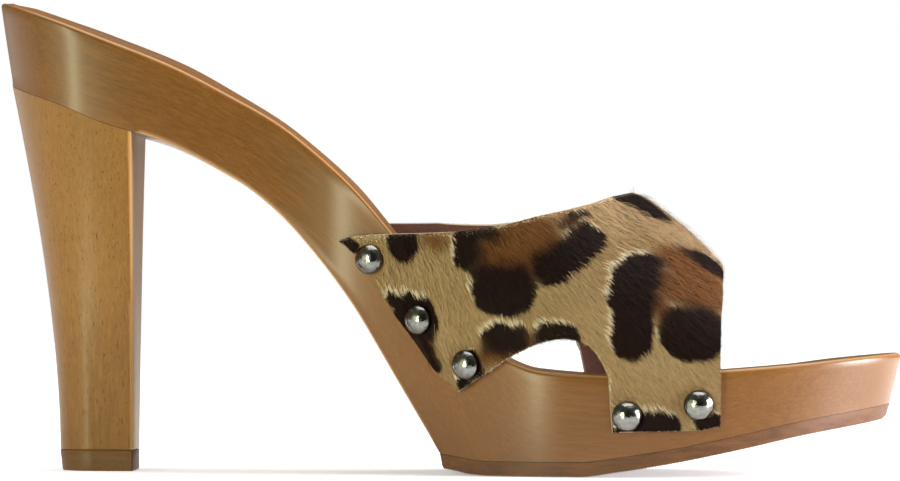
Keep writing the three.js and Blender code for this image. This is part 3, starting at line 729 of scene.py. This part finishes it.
def camera_axes():
    look = CAMERA_TARGET - CAMERA_AT
    look /= np.linalg.norm(look)
    right = np.cross(look, [0, 0, 1.0])
    right /= np.linalg.norm(right)
    up = np.cross(right, look)
    c, s = math.cos(CAMERA_ROLL), math.sin(CAMERA_ROLL)
    return right * c + up * s, up * c - right * s, look


def picture_place(points):
    right, up, look = camera_axes()
    gap = points + TO_FRAME - CAMERA_AT
    depth = gap @ look
    return np.stack([
        PICTURE[0] / 2 + FOCAL_PIXELS * (gap @ right) / depth,
        PICTURE[1] / 2 - FOCAL_PIXELS * (gap @ up) / depth,
    ], -1)


# Dark spots of the outer side, charted in the picture: from, to, radius, in pixels.
OUTER_DARK = [
    (344, 241, 356, 248, 6), (400, 238, 403, 244, 17.5), (467, 240, 466, 259, 15),
    (478, 236, 492, 234, 7), (497, 289, 512, 290, 26), (480, 272, 484, 280, 11),
    (551, 268, 562, 262, 20), (572, 252, 588, 238, 19), (562, 223, 584, 214, 4.5),
    (391, 297, 412, 303, 8), (408, 303, 424, 308, 13), (423, 312, 428, 330, 14.5),
    (404, 314, 418, 328, 13), (414, 325, 436, 364, 9),
    (494, 337, 515, 338, 15.5), (551, 337, 562, 337, 17), (475, 358, 476, 372, 9),
    (462, 382, 468, 386, 8),
    (636, 275, 632, 300, 24.5), (632, 300, 630, 340, 21), (640, 262, 651, 263, 12),
    (693, 258, 716, 268, 15.5), (706, 266, 721, 274, 14),
    (686, 333, 700, 331, 29.5), (646, 423, 668, 424, 12.5), (614, 431, 644, 432, 5),
    (702, 423, 719, 420, 8),
]
OUTER_BROWN = [
    (500, 256, 535, 238, 27), (520, 266, 545, 250, 24), (430, 237, 442, 244, 10),
    (488, 354, 522, 348, 13), (516, 340, 536, 344, 9), (676, 262, 708, 268, 23),
    (674, 285, 706, 298, 24), (686, 276, 717, 288, 18), (657, 300, 666, 318, 11),
    (424, 334, 434, 352, 8),
    (560, 226, 572, 222, 8),
]
# Dark and brown spots of the inner side in side view: from and to as x and z, radius, in mm.
INNER_DARK = [
    (92, 55, 97, 54, 4), (104, 52, 105, 46, 4.2), (116, 58, 122, 52, 4.6),
    (131, 56, 129, 49, 4.8), (122, 42, 128, 40, 4.2), (98, 41, 101, 36, 3.4),
    (112, 33, 117, 34, 3.4), (139, 40, 137, 34, 4.5), (143, 58, 150, 55, 4.4),
    (158, 50, 156, 43, 5.0), (168, 47, 170, 41, 4.0), (165, 30, 170, 27, 4.6),
    (150, 30, 151, 23, 4.4), (148, 14, 153, 13, 2.8), (162, 13, 166, 14, 3.2),
    (136, 64, 140, 66, 3.5),
]
INNER_BROWN = [
    (118, 47, 124, 47, 6), (124, 56, 124, 50, 5), (162, 40, 163, 35, 6), (145, 36, 143, 30, 5),
    (104, 40, 107, 42, 4), (147, 52, 150, 48, 4),
]
# Spots over the instep in plan: from and to as x and y, radius, in mm.
TOP_DARK = [
    (149.5, -12.5, 153.5, -10.5, 4.6), (154, -9.5, 157.5, -10.5, 6.4), (160, 8, 165, 14, 4.2),
    (171, 4, 172, 8, 3.4), (171, 22, 168, 27, 4.0), (157, 26, 152, 30, 4.0),
]
TOP_BROWN = [(168, 10, 166, 14, 5.0)]


def chart_spots():
    """All the spots as 3-D capsules on the leather: dark ones and brown ones."""
    outer = skin_point(GRIDS[0][1], GRIDS[0][2]).reshape(-1, 3)
    inner = skin_point(GRIDS[1][1], GRIDS[1][2]).reshape(-1, 3)
    both = np.concatenate([outer, inner])
    seen = picture_place(outer)
    scale = 1155.0 / FOCAL_PIXELS

    def nearest(flat, solid, u, v):
        return solid[np.argmin((flat[:, 0] - u) ** 2 + (flat[:, 1] - v) ** 2)]

    def capsules(rows, flat, solid, size):
        return [(nearest(flat, solid, a, b), nearest(flat, solid, c, d), r * size)
                for a, b, c, d, r in rows]

    high = both[both[:, 2] > 50]
    dark = capsules(OUTER_DARK, seen, outer, scale)
    dark += capsules(INNER_DARK, inner[:, [0, 2]], inner, 1.0)
    dark += capsules(TOP_DARK, high[:, :2], high, 1.0)
    brown = capsules(OUTER_BROWN, seen, outer, scale)
    brown += capsules(INNER_BROWN, inner[:, [0, 2]], inner, 1.0)
    brown += capsules(TOP_BROWN, high[:, :2], high, 1.0)
    return dark, brown


SPOTS = chart_spots()


def spot_field(points, capsules, soft):
    """1 inside the capsules, 0 outside, with an edge of the given softness in mm."""
    best = np.full(len(points), -1e3)
    for a, b, radius in capsules:
        axis = b - a
        t = np.clip(((points - a) @ axis) / max(axis @ axis, 1e-9), 0, 1)
        gap = np.linalg.norm(points - a - t[:, None] * axis, axis=1)
        best = np.maximum(best, radius - gap)
    return smooth(-soft, soft, best)


def rgb(text):
    """Linear colour from a hexadecimal display colour."""
    value = np.array([int(text[i:i + 2], 16) for i in (0, 2, 4)]) / 255
    return np.where(value <= 0.04045, value / 12.92, ((value + 0.055) / 1.055) ** 2.4)


GOLD = rgb("836747")
GOLD_PALE = rgb("AE9A76")
FRINGE = rgb("E2D6BE")
BROWN = rgb("654022")
BROWN_DEEP = rgb("3A2012")
DARK = rgb("180C09")


def coat_weights(points):
    """Dark and brown shares. A dark spot fades softly into brown and ends sharply on gold."""
    shift = np.stack([wobble(points, 5.5, s) for s in (11, 12, 13)], 1) * 0.5
    moved = points + shift
    brown = spot_field(moved, SPOTS[1], 2.0)
    sharp = spot_field(moved, SPOTS[0], 0.35)
    soft = spot_field(moved, SPOTS[0], 1.9)
    near = spot_field(moved, SPOTS[0], 4.5)
    return mix(sharp, soft, brown), brown, near


def coat_colour(points):
    dark, brown, near = coat_weights(points)
    tint = 0.5 + 0.5 * wobble(points, 24.0, 21)
    base = mix(GOLD, GOLD_PALE, (0.25 * tint)[:, None])
    colour = mix(base, mix(BROWN, BROWN_DEEP, near[:, None]), brown[:, None])
    return mix(colour, DARK, dark[:, None]), dark


def upper_shell():
    """The leather under the coat, its cut edge and its lining, as one closed shell."""
    outer_faces, points, lining = [], [], []
    for n, (_, x, t) in enumerate(GRIDS):
        points.append(skin_point(x, t).reshape(-1, 3))
        lining.append(upper_point(x, t).reshape(-1, 3))
        start = n * COLUMNS * ROWS
        for i in range(COLUMNS - 1):
            for j in range(ROWS - 1):
                a = start + i * ROWS + j
                quad = (a, a + ROWS, a + ROWS + 1, a + 1)
                outer_faces.append(quad if n == 0 else quad[::-1])
    points, lining = np.concatenate(points), np.concatenate(lining)
    # Both sides share the points along the ridge in front of the throat.
    shared = {}
    first = int(np.argmax(GRIDS[0][1][:, 0] >= APEX - 1e-6))
    for i in range(first, COLUMNS):
        keep = i * ROWS + ROWS - 1
        drop = COLUMNS * ROWS + i * ROWS + ROWS - 1
        points[drop] = points[keep] = (points[keep] + points[drop]) / 2
        lining[drop] = lining[keep] = (lining[keep] + lining[drop]) / 2
        shared[drop] = keep
    outer_faces = [tuple(shared.get(v, v) for v in face) for face in outer_faces]
    count = {}
    for face in outer_faces:
        for a, b in zip(face, face[1:] + face[:1]):
            count[(a, b)] = count.get((a, b), 0) + 1
    rim = [edge for edge in count if (edge[1], edge[0]) not in count]
    out = np.zeros_like(points)
    for a, b in rim:
        step = points[b] - points[a]
        normal = points[a] - lining[a]
        outward = np.cross(step, normal)
        length = np.linalg.norm(outward)
        if length > 1e-9:
            out[a] += outward / length
            out[b] += outward / length
    size = np.linalg.norm(out, axis=1)
    out[size > 0] /= size[size > 0][:, None]
    total = len(points)
    ids = sorted({v for edge in rim for v in edge})
    ring = {v: 2 * total + k for k, v in enumerate(ids)}
    half = (points[ids] + lining[ids]) / 2 + 0.22 * out[ids]
    faces = list(outer_faces)
    faces += [tuple(total + v for v in face[::-1]) for face in outer_faces]
    parts = [0] * len(outer_faces) + [1] * len(outer_faces)
    for a, b in rim:
        faces.append((b, a, ring[a], ring[b]))
        faces.append((ring[b], ring[a], total + a, total + b))
        parts += [2, 2]
    everything = np.concatenate([points, lining, half])
    colour = np.ones((len(everything), 4))
    colour[:, :3] = coat_colour(everything)[0] * 0.7
    obj = make_object("upper_leather", everything, faces, 50.0, merge=False,
                      attributes={"coat": colour, "grain": everything.copy()})
    obj.data.polygons.foreach_set("material_index", parts)
    work = bmesh.new()
    work.from_mesh(obj.data)
    loose = [v for v in work.verts if not v.link_faces]
    bmesh.ops.delete(work, geom=loose, context="VERTS")
    bmesh.ops.recalc_face_normals(work, faces=work.faces)
    work.to_mesh(obj.data)
    work.free()
    return obj


def strands(name, roots, along, out, length, width, colour, tip_colour, chart, lift, rng):
    """Hairs as tapered ribbons of three faces, all in one mesh."""
    count = len(roots)
    side = np.cross(out, along)
    side /= np.linalg.norm(side, axis=1)[:, None]
    curl = rng.normal(0, 0.09, count) * length
    points = np.empty((count, 6, 3))
    # Root, middle and tip: the share of the length, of the width and of the lift.
    for n, (s, w, h) in enumerate([(0.0, 1.0, 0.0), (0.5, 0.85, 0.8), (1.0, 0.0, 1.0)]):
        middle = roots + along * (length * s)[:, None] + out * (lift * h)[:, None]
        middle = middle + side * (curl * s * s)[:, None]
        half = side * (width * w / 2)[:, None]
        points[:, 2 * n], points[:, 2 * n + 1] = middle - half, middle + half
    points = points[:, :5]
    mesh = bpy.data.meshes.new(name)
    mesh.vertices.add(count * 5)
    places = (points.reshape(-1, 3) + TO_FRAME) * 0.001
    mesh.vertices.foreach_set("co", places.ravel())
    corner = np.array([0, 1, 3, 0, 3, 2, 2, 3, 4])
    index = (np.arange(count)[:, None] * 5 + corner[None, :]).ravel()
    mesh.loops.add(len(index))
    mesh.loops.foreach_set("vertex_index", index)
    mesh.polygons.add(count * 3)
    mesh.polygons.foreach_set("loop_start", np.arange(0, len(index), 3))
    mesh.update(calc_edges=True)
    tone = np.ones((count, 5, 4))
    tone[:, 0:2, :3] = colour[:, None]
    tone[:, 2:4, :3] = mix(colour, tip_colour, 0.5)[:, None]
    tone[:, 4, :3] = tip_colour
    layer = mesh.attributes.new("coat", "FLOAT_COLOR", "POINT")
    layer.data.foreach_set("color", tone.ravel())
    place = np.repeat(chart[:, None, :], 5, 1)
    size = 0.0015
    place[:, :, 0] += np.array([0.0, 1.0, 0.0, 1.0, 0.5]) * size
    place[:, :, 1] += np.array([0.0, 0.0, 1.0, 1.0, 2.0]) * size
    uv = mesh.uv_layers.new(name="OFBake")
    uv.data.foreach_set("uv", place.reshape(-1, 2)[index].ravel())
    mesh.shade_smooth()
    return put(name, mesh)


def inside_cut(points, side):
    """Whether points lie above the lower edge and behind the front edge, with a small margin."""
    low_x, low_z, _ = lower_line(side)
    low = np.interp(points[:, 0], low_x, low_z)
    front = UPPER_FRONT + front_bow(points[:, 2])
    rear = points[:, 0] > low_x[0] - 0.5
    return (points[:, 2] > low - 0.4) & (points[:, 0] < front + 0.5) & rear


def chart_place(x, t):
    """Where a hair's root lies in the square chart of its side."""
    rim, span, rear, length = 0.02, 0.94, 78, 100
    return np.stack([rim + span * (x - rear) / length, rim + span * t], 1)


def comb(turn, out):
    """The hair's direction on the surface: forwards, and down by the given angle."""
    flow = np.stack([np.cos(turn), 0 * turn, -np.sin(turn)], 1)
    flow -= np.sum(flow * out, axis=1)[:, None] * out
    return flow / np.linalg.norm(flow, axis=1)[:, None]


def coat_side(index, count, seed):
    """The hair of one side: rooted evenly, combed down and forwards, trimmed at the cut edges."""
    rng = np.random.default_rng(seed)
    side, x_grid, t_grid = GRIDS[index]
    surface = skin_point(x_grid, t_grid)
    a, b = surface[:-1, :-1], surface[1:, :-1]
    c, d = surface[1:, 1:], surface[:-1, 1:]
    area = np.linalg.norm(np.cross(c - a, d - b), axis=-1).ravel() / 2
    chosen = rng.choice(len(area), count, p=area / area.sum())
    i, j = np.unravel_index(chosen, (COLUMNS - 1, ROWS - 1))
    u, v = rng.random(count), rng.random(count)

    def blend(grid):
        near = mix(grid[i, j], grid[i + 1, j], u)
        far = mix(grid[i, j + 1], grid[i + 1, j + 1], u)
        return mix(near, far, v)

    x, t = blend(x_grid), blend(t_grid)
    root = skin_point(x, t)
    out = upper_frame(x, t)[2]
    turn = math.radians(53) + 0.14 * wobble(root, 20.0, 31) + rng.normal(0, 0.15, count)
    flow = comb(turn, out)
    length = rng.uniform(2.2, 3.9, count)
    lift = rng.uniform(0.25, 0.75, count)
    on_top = smooth(40.0, 46.0, root[:, 2])
    wild = rng.random(count) < 0.012 + 0.05 * on_top
    lift[wild] += rng.uniform(0.4, 1.3, wild.sum())
    length[wild] *= 1.25
    for _ in range(5):
        tip = root + flow * length[:, None]
        length = np.where(inside_cut(tip, side), length, length * 0.62)
    for place, _ in STUD_FRAMES:
        tip = root + flow * length[:, None]
        close = np.linalg.norm(tip - place, axis=1) < STUD_RADIUS + 0.9
        length = np.where(close, length * 0.35, length)
        lift = np.where(close, lift * 0.5, lift)
    clear = np.ones(count, bool)
    for place, _ in STUD_FRAMES:
        clear &= np.linalg.norm(root - place, axis=1) > STUD_RADIUS + 0.15
    # A hair has the colour of the place that its middle covers.
    tone, dark = coat_colour(root + flow * (length * 0.5)[:, None])
    tip_dark, tip_brown, _ = coat_weights(root + flow * (length * 0.95)[:, None])
    light = rng.normal(1.0, 0.16, count)[:, None]
    tone = np.clip(tone * np.clip(light, 0.6, 1.5), 0, 1)
    over_dark = (dark < 0.4) & (tip_dark > 0.6) & (tip_brown < 0.25)
    fringe = over_dark * rng.uniform(0.2, 1, count)
    tips = mix(tone, GOLD_PALE, (0.22 * (1 - dark) * (1 - tip_brown))[:, None])
    tips = mix(tips, FRINGE, (0.95 * fringe)[:, None])
    tone = mix(tone, FRINGE, (0.25 * fringe)[:, None])
    width = rng.uniform(0.13, 0.22, count)
    keep = clear & (length > 0.25)
    parts = [root - 0.12 * out, flow, out, length, width, tone, tips, chart_place(x, t), lift]
    return strands("coat_outer" if index == 0 else "coat_inner", *[p[keep] for p in parts], rng)


def edge_fringe(count, seed):
    """Pale hairs that stand along the throat's cut edge and hang over the side openings."""
    rng = np.random.default_rng(seed)
    roots, flows, outs, charts, lengths, lifts = [], [], [], [], [], []
    apex = int(np.argmax(GRIDS[0][1][:, 0] >= APEX - 1e-6))
    for index, (_, x_grid, t_grid) in enumerate(GRIDS):
        for row, first, last, turn, spread, share, reach, rise in (
            (ROWS - 1, 2, apex - 1, -8.0, 26.0, 1.0, 0.7, 0.3),
            (0, 46, 106, 40.0, 22.0, 0.8, 1.0, 0.4),
            (ROWS - 1, apex - 6, apex + 1, -70.0, 25.0, 0.006, 2.4, 1.6),
        ):
            number = int(count * share)
            lengths.append(rng.uniform(0.5, 1.3, number) * reach)
            lifts.append(rng.uniform(0.2, 1.1, number) * rise)
            i = rng.integers(first, last, number)
            u = rng.random(number)
            x = mix(x_grid[i, row], x_grid[i + 1, row], u)
            t = mix(t_grid[i, row], t_grid[i + 1, row], u)
            inward = 1 if (row == 0) == (index == 0) else -1
            t = t + inward * rng.uniform(0.0, 0.006, number)
            out = upper_frame(x, t)[2]
            roots.append(skin_point(x, t))
            flows.append(comb(np.radians(rng.normal(turn, spread, number)), out))
            outs.append(out)
            charts.append(chart_place(x, t))
    root, flow, out, chart, length, lift = (
        np.concatenate(v) for v in (roots, flows, outs, charts, lengths, lifts))
    total = len(root)
    base, dark = coat_colour(root)
    pale = (rng.uniform(0.2, 0.9, total) * (1 - 0.75 * dark))[:, None]
    tips = mix(base, FRINGE, pale)
    width = rng.uniform(0.09, 0.15, total)
    tone = mix(base, FRINGE, 0.5 * pale)
    return strands("coat_fringe", root - 0.1 * out, flow, out, length, width, tone, tips,
                   chart, lift, rng)


def stud_profile():
    """Radius and height of a nail head above the lining: low cap, rolled edge, short skirt."""
    spread, roll = math.radians(60), 0.35
    neck = STUD_RADIUS - roll * (1 - math.sin(spread))
    ball = neck / math.sin(spread)
    rows = [(ball * math.sin(a), STUD_CAP_TOP - ball * (1 - math.cos(a)))
            for a in np.linspace(0.0, spread, 14)[1:]]
    centre_r = neck - roll * math.sin(spread)
    centre_h = rows[-1][1] - roll * math.cos(spread)
    rows += [(centre_r + roll * math.sin(a), centre_h + roll * math.cos(a))
             for a in np.linspace(spread, math.radians(125), 6)[1:]]
    rows.append((rows[-1][0], 0.9))
    return rows


def stud_mesh(name, frames):
    """Nail heads with all their turned rows, in one mesh."""
    points, faces = [], []
    around = 48
    rows = stud_profile()
    turns = 2 * np.pi * np.arange(around) / around
    for place, out in frames:
        u = np.cross([0, 0, 1.0], out)
        u /= np.linalg.norm(u)
        v = np.cross(out, u)
        start = len(points)
        points.append(place + STUD_CAP_TOP * out)
        for radius, height in rows:
            ring = np.cos(turns)[:, None] * u + np.sin(turns)[:, None] * v
            points.extend(place + radius * ring + height * out)
        for n in range(around):
            m = (n + 1) % around
            faces.append((start, start + 1 + n, start + 1 + m))
            for k in range(len(rows) - 1):
                a, b = start + 1 + k * around, start + 1 + (k + 1) * around
                faces.append((a + n, b + n, b + m, a + m))
        last = start + 1 + (len(rows) - 1) * around
        faces.append(tuple(last + n for n in range(around)))
    points = np.array(points)
    return make_object(name, points, faces, 60.0, attributes={"grain": points.copy()})


# Materials


def colour4(value):
    return (*np.broadcast_to(value, 3).tolist(), 1.0)


class Net:
    """The nodes of one material or of the world. An input is a value or another node's socket."""

    def __init__(self, tree):
        self.nodes, self.links = tree.nodes, tree.links

    def feed(self, node, inputs):
        for key, value in inputs.items():
            if isinstance(value, bpy.types.NodeSocket):
                self.links.new(value, node.inputs[key])
            else:
                node.inputs[key].default_value = value

    def add(self, kind, output, inputs=None, **settings):
        node = self.nodes.new("ShaderNode" + kind)
        for key, value in settings.items():
            setattr(node, key, value)
        self.feed(node, inputs or {})
        return node.outputs[output]

    def shade(self, inputs):
        self.feed(self.nodes["Principled BSDF"], inputs)

    def grain(self, stretch):
        source = self.add("Attribute", "Vector", attribute_name="grain")
        return self.add("Mapping", "Vector", {"Scale": stretch, "Vector": source})

    def noise(self, stretch, detail=4.0, rough=0.55, scale=1.0):
        return self.add("TexNoise", "Fac", {
            "Scale": scale, "Detail": detail, "Roughness": rough, "Vector": self.grain(stretch)})

    def ramp(self, share, *stops):
        node = self.nodes.new("ShaderNodeValToRGB")
        while len(node.color_ramp.elements) < len(stops):
            node.color_ramp.elements.new(0.5)
        for element, (place, colour) in zip(node.color_ramp.elements, stops):
            element.position = place
            element.color = colour4(colour)
        self.feed(node, {"Fac": share})
        return node.outputs["Color"]

    def blend(self, share, first, second, kind="MIX"):
        return self.add("Mix", "Result", {"Factor": share, "A": first, "B": second},
                        data_type="RGBA", blend_type=kind)

    def span(self, value, low, high, start=0.3, end=0.7):
        return self.add("MapRange", "Result", {
            "From Min": start, "From Max": end, "To Min": low, "To Max": high, "Value": value})

    def bump(self, height, strength, distance):
        self.shade({"Normal": self.add("Bump", "Normal", {
            "Strength": strength, "Distance": distance, "Height": height})})


def new_material(name):
    material = bpy.data.materials.new(name)
    material.use_nodes = True
    return material, Net(material.node_tree)


def wood(name, dark, middle, light, fleck, flecked, gloss):
    """Varnished beech: broad tone, long fibres and short dark flecks along the first axis."""
    material, net = new_material(name)
    broad = net.noise((0.012, 0.05, 0.05), 3.0)
    fibre = net.noise((0.09, 1.5, 1.5), 6.0, 0.65)
    fine = net.noise((0.35, 6.0, 6.0), 3.0, 0.6)
    short = net.noise((0.38, 3.2, 3.2), 1.0, 0.4)
    base = net.ramp(broad, (0.3, dark), (0.5, middle), (0.7, light))
    streak = net.ramp(fibre, (0.3, middle * 0.72), (0.5, middle), (0.72, light * 1.06))
    colour = net.blend(0.55, base, streak)
    colour = net.blend(0.7, colour, net.ramp(fine, (0.35, 0.82), (0.6, 1.0)), "MULTIPLY")
    colour = net.blend(flecked, colour, net.ramp(short, (0.66, 1.0), (0.73, fleck)), "MULTIPLY")
    # The attribute read here paints a pale highlight along the marked edges, in the colour C99A66
    # below.
    painted_highlight = net.add("Attribute", "Fac", attribute_name="painted_edge_highlight")
    share = net.span(painted_highlight, 0.0, 0.75, 0.0, 1.0)
    net.shade({
        "Base Color": net.blend(share, colour, colour4(rgb("C99A66"))),
        "Roughness": net.span(fibre, 0.36, 0.46),
        "Specular IOR Level": 0.35 * gloss,
        "Coat Weight": 0.5 * gloss,
        "Coat Roughness": 0.3,
    })
    net.bump(fine, 0.12, 0.0001)
    return material


def rubber(name, dark, light, rough):
    material, net = new_material(name)
    patch = net.noise((0.12, 0.3, 0.8), 5.0, 0.6)
    speck = net.noise((2.2, 2.2, 2.2), 3.0, 0.6)
    colour = net.ramp(patch, (0.3, dark), (0.7, light))
    mottled = net.ramp(speck, (0.35, 0.78), (0.65, 1.05))
    net.shade({
        "Base Color": net.blend(0.8, colour, mottled, "MULTIPLY"),
        "Roughness": net.span(patch, rough - 0.08, rough + 0.08),
        "Specular IOR Level": 0.3,
    })
    net.bump(speck, 0.25, 0.0001)
    return material


def hair(name, rough):
    """The hair's own colour, which its mesh carries."""
    material, net = new_material(name)
    coat = net.add("Attribute", "Color", attribute_name="coat")
    net.shade({"Base Color": coat, "Roughness": rough, "Specular IOR Level": 0.08})
    return material


def leather(name, dark, light, rough):
    """Grained lining leather."""
    material, net = new_material(name)
    patch = net.noise((1.0, 1.0, 1.0), scale=0.06)
    cells = net.add("TexVoronoi", "Distance", {
        "Scale": 1.4, "Vector": net.grain((1.0, 1.0, 1.0))}, feature="DISTANCE_TO_EDGE")
    colour = net.ramp(patch, (0.3, dark), (0.7, light))
    crease = net.ramp(cells, (0.02, 0.6), (0.12, 1.0))
    net.shade({
        "Base Color": net.blend(0.7, colour, crease, "MULTIPLY"),
        "Roughness": net.span(patch, rough - 0.06, rough + 0.06),
    })
    net.bump(cells, 0.4, 0.0002)
    return material


def chrome(name):
    """Polished metal, a little uneven and finely scratched."""
    material, net = new_material(name)
    patch = net.noise((0.9, 0.9, 0.9))
    scratch = net.noise((6.0, 1.2, 2.5), 5.0, 0.7)
    net.shade({
        "Base Color": net.ramp(patch, (0.3, rgb("666764")), (0.7, rgb("8A8A84"))),
        "Metallic": 1.0,
        "Roughness": net.span(scratch, 0.06, 0.2),
    })
    net.bump(patch, 0.45, 0.0003)
    return material


# The scene


def place_piece(obj, materials, slot, *nodes):
    for material in materials:
        obj.data.materials.append(material)
    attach(obj, "root")
    if nodes:
        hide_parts(*nodes)


def add_camera():
    data = bpy.data.cameras.new("camera")
    data.sensor_width = 36.0
    data.sensor_fit = "HORIZONTAL"
    data.lens = data.sensor_width * FOCAL_PIXELS / PICTURE[0]
    data.clip_start = 0.05
    data.clip_end = 50.0
    obj = put("camera", data)
    right, up, look = camera_axes()
    turn = Matrix((right, up, -look)).transposed().to_4x4()
    obj.matrix_world = Matrix.Translation(Vector(CAMERA_AT * 0.001)) @ turn
    bpy.context.scene.camera = obj


def add_light(name, place, target, size, power, colour):
    data = bpy.data.lights.new(name, "AREA")
    data.shape = "RECTANGLE"
    data.size, data.size_y = size
    data.energy = power
    data.color = colour
    obj = put(name, data)
    obj.location = place
    away = Vector(target) - Vector(place)
    obj.rotation_euler = away.to_track_quat("-Z", "Y").to_euler()


def add_sun(energy, spread):
    data = bpy.data.lights.new("ceiling", "SUN")
    data.energy = energy
    data.angle = math.radians(spread)
    put("ceiling", data).rotation_euler = (math.radians(-8), math.radians(6), 0)


def add_floor():
    """A pale floor that ends between the shoe and the camera, out of the picture."""
    mesh = bpy.data.meshes.new("floor")
    reach, front = 12.0, -0.13
    corners = [(-reach, front, 0), (reach, front, 0), (reach, reach, 0), (-reach, reach, 0)]
    mesh.from_pydata(corners, [], [(0, 1, 2, 3)])
    obj = put("floor", mesh)
    material, net = new_material("floor_paper")
    net.shade({
        "Base Color": (0.9, 0.9, 0.9, 1.0),
        "Roughness": 0.9,
        "Emission Color": (0.99, 1.0, 1.04, 1.0),
        "Emission Strength": 0.4,
    })
    mesh.materials.append(material)


def add_world():
    """Plain white behind the object, and a studio that is darker on the camera's side."""
    world = bpy.data.worlds.new("studio")
    bpy.context.scene.world = world
    world.use_nodes = True
    net = Net(world.node_tree)
    place = net.add("TexCoord", "Generated")

    def glow(direction, strength, *stops):
        share = net.add("VectorMath", "Value", {0: place, 1: direction}, operation="DOT_PRODUCT")
        return net.add("Background", "Background", {
            "Color": net.ramp(share, *stops), "Strength": strength})

    room = glow((0.0, -1.0, 0.0), 1.0, (0.0, (0.2, 0.19, 0.152)), (0.5, (0.24, 0.226, 0.178)),
                (0.8, (0.08, 0.076, 0.062)), (1.0, (0.03, 0.029, 0.026)))
    # A large soft window stands in front, to the left.
    pane = glow((-0.69, -0.72, 0.0), 1.9, (0.86, 0.0), (0.95, (0.98, 1.0, 0.68)))
    both = net.add("AddShader", "Shader", {0: room, 1: pane})
    plain = net.nodes["Background"]
    net.feed(plain, {"Color": (1.0, 1.0, 1.0, 1.0)})
    ray = net.add("LightPath", "Is Camera Ray")
    seen = net.add("MixShader", "Shader", {0: ray, 1: both, 2: plain.outputs["Background"]})
    net.feed(net.nodes["World Output"], {"Surface": seen})


add_camera()
add_floor()
add_world()
add_sun(2.5, 60.0)
add_light("window", (-0.56, -1.18, 0.05), (0.0, 0.0, 0.04), (0.16, 0.9), 15.5, (0.95, 1.0, 0.66))
add_light("side", (1.42, 0.0, 0.3), (0.08, 0.0, 0.03), (0.7, 0.7), 74.0, (1.0, 0.95, 0.95))

board_wood = wood(
    "beech_board", rgb("5A3912"), rgb("664015"), rgb("754C1F"), rgb("A98A66"), 0.35, 0.65)
heel_wood = wood(
    "beech_heel", rgb("6D4A20"), rgb("7A5425"), rgb("87602F"), rgb("8A6240"), 0.7, 0.4)
tip_rubber = rubber("tip_brown", rgb("573A19"), rgb("6A4620"), 0.5)
tread_rubber = rubber("tread_brown", rgb("4A2F18"), rgb("684226"), 0.55)
skin_hair = hair("hide_under_coat", 0.8)
coat_hair = hair("coat_hair", 0.6)
lining_leather = leather("lining_brown", rgb("5E3E30"), rgb("724C3F"), 0.45)
edge_leather = leather("cut_edge", rgb("8B7860"), rgb("B5A288"), 0.7)
stud_chrome = chrome("polished_chrome")

place_piece(sole_mesh(), [board_wood], "sole_wood", "sole")
place_piece(heel_mesh(), [heel_wood], "heel_wood", "heel")
place_piece(tip_mesh(), [tip_rubber], "tip_rubber", "heel_tip")
place_piece(outsole_mesh(), [tread_rubber], "outsole_rubber", "outsole")
place_piece(upper_shell(), [skin_hair, lining_leather, edge_leather], "hair_leather", "upper")
for index, seed in ((0, 41), (1, 42)):
    place_piece(coat_side(index, HAIRS, seed), [coat_hair], "hair_leather")
place_piece(edge_fringe(EDGE_HAIRS, 43), [coat_hair], "hair_leather")

stud_names = ["rear_top", "rear_middle", "rear_bottom", "front_rear", "front_toe"]
for n, side_name in enumerate(("outer", "inner")):
    studs = stud_mesh("studs_" + side_name, STUD_FRAMES[5 * n:5 * n + 5])
    covered = [f"stud_{side_name}_{place}" for place in stud_names]
    place_piece(studs, [stud_chrome], "stud_chrome", *covered)

bpy.context.scene.view_settings.view_transform = "Standard"
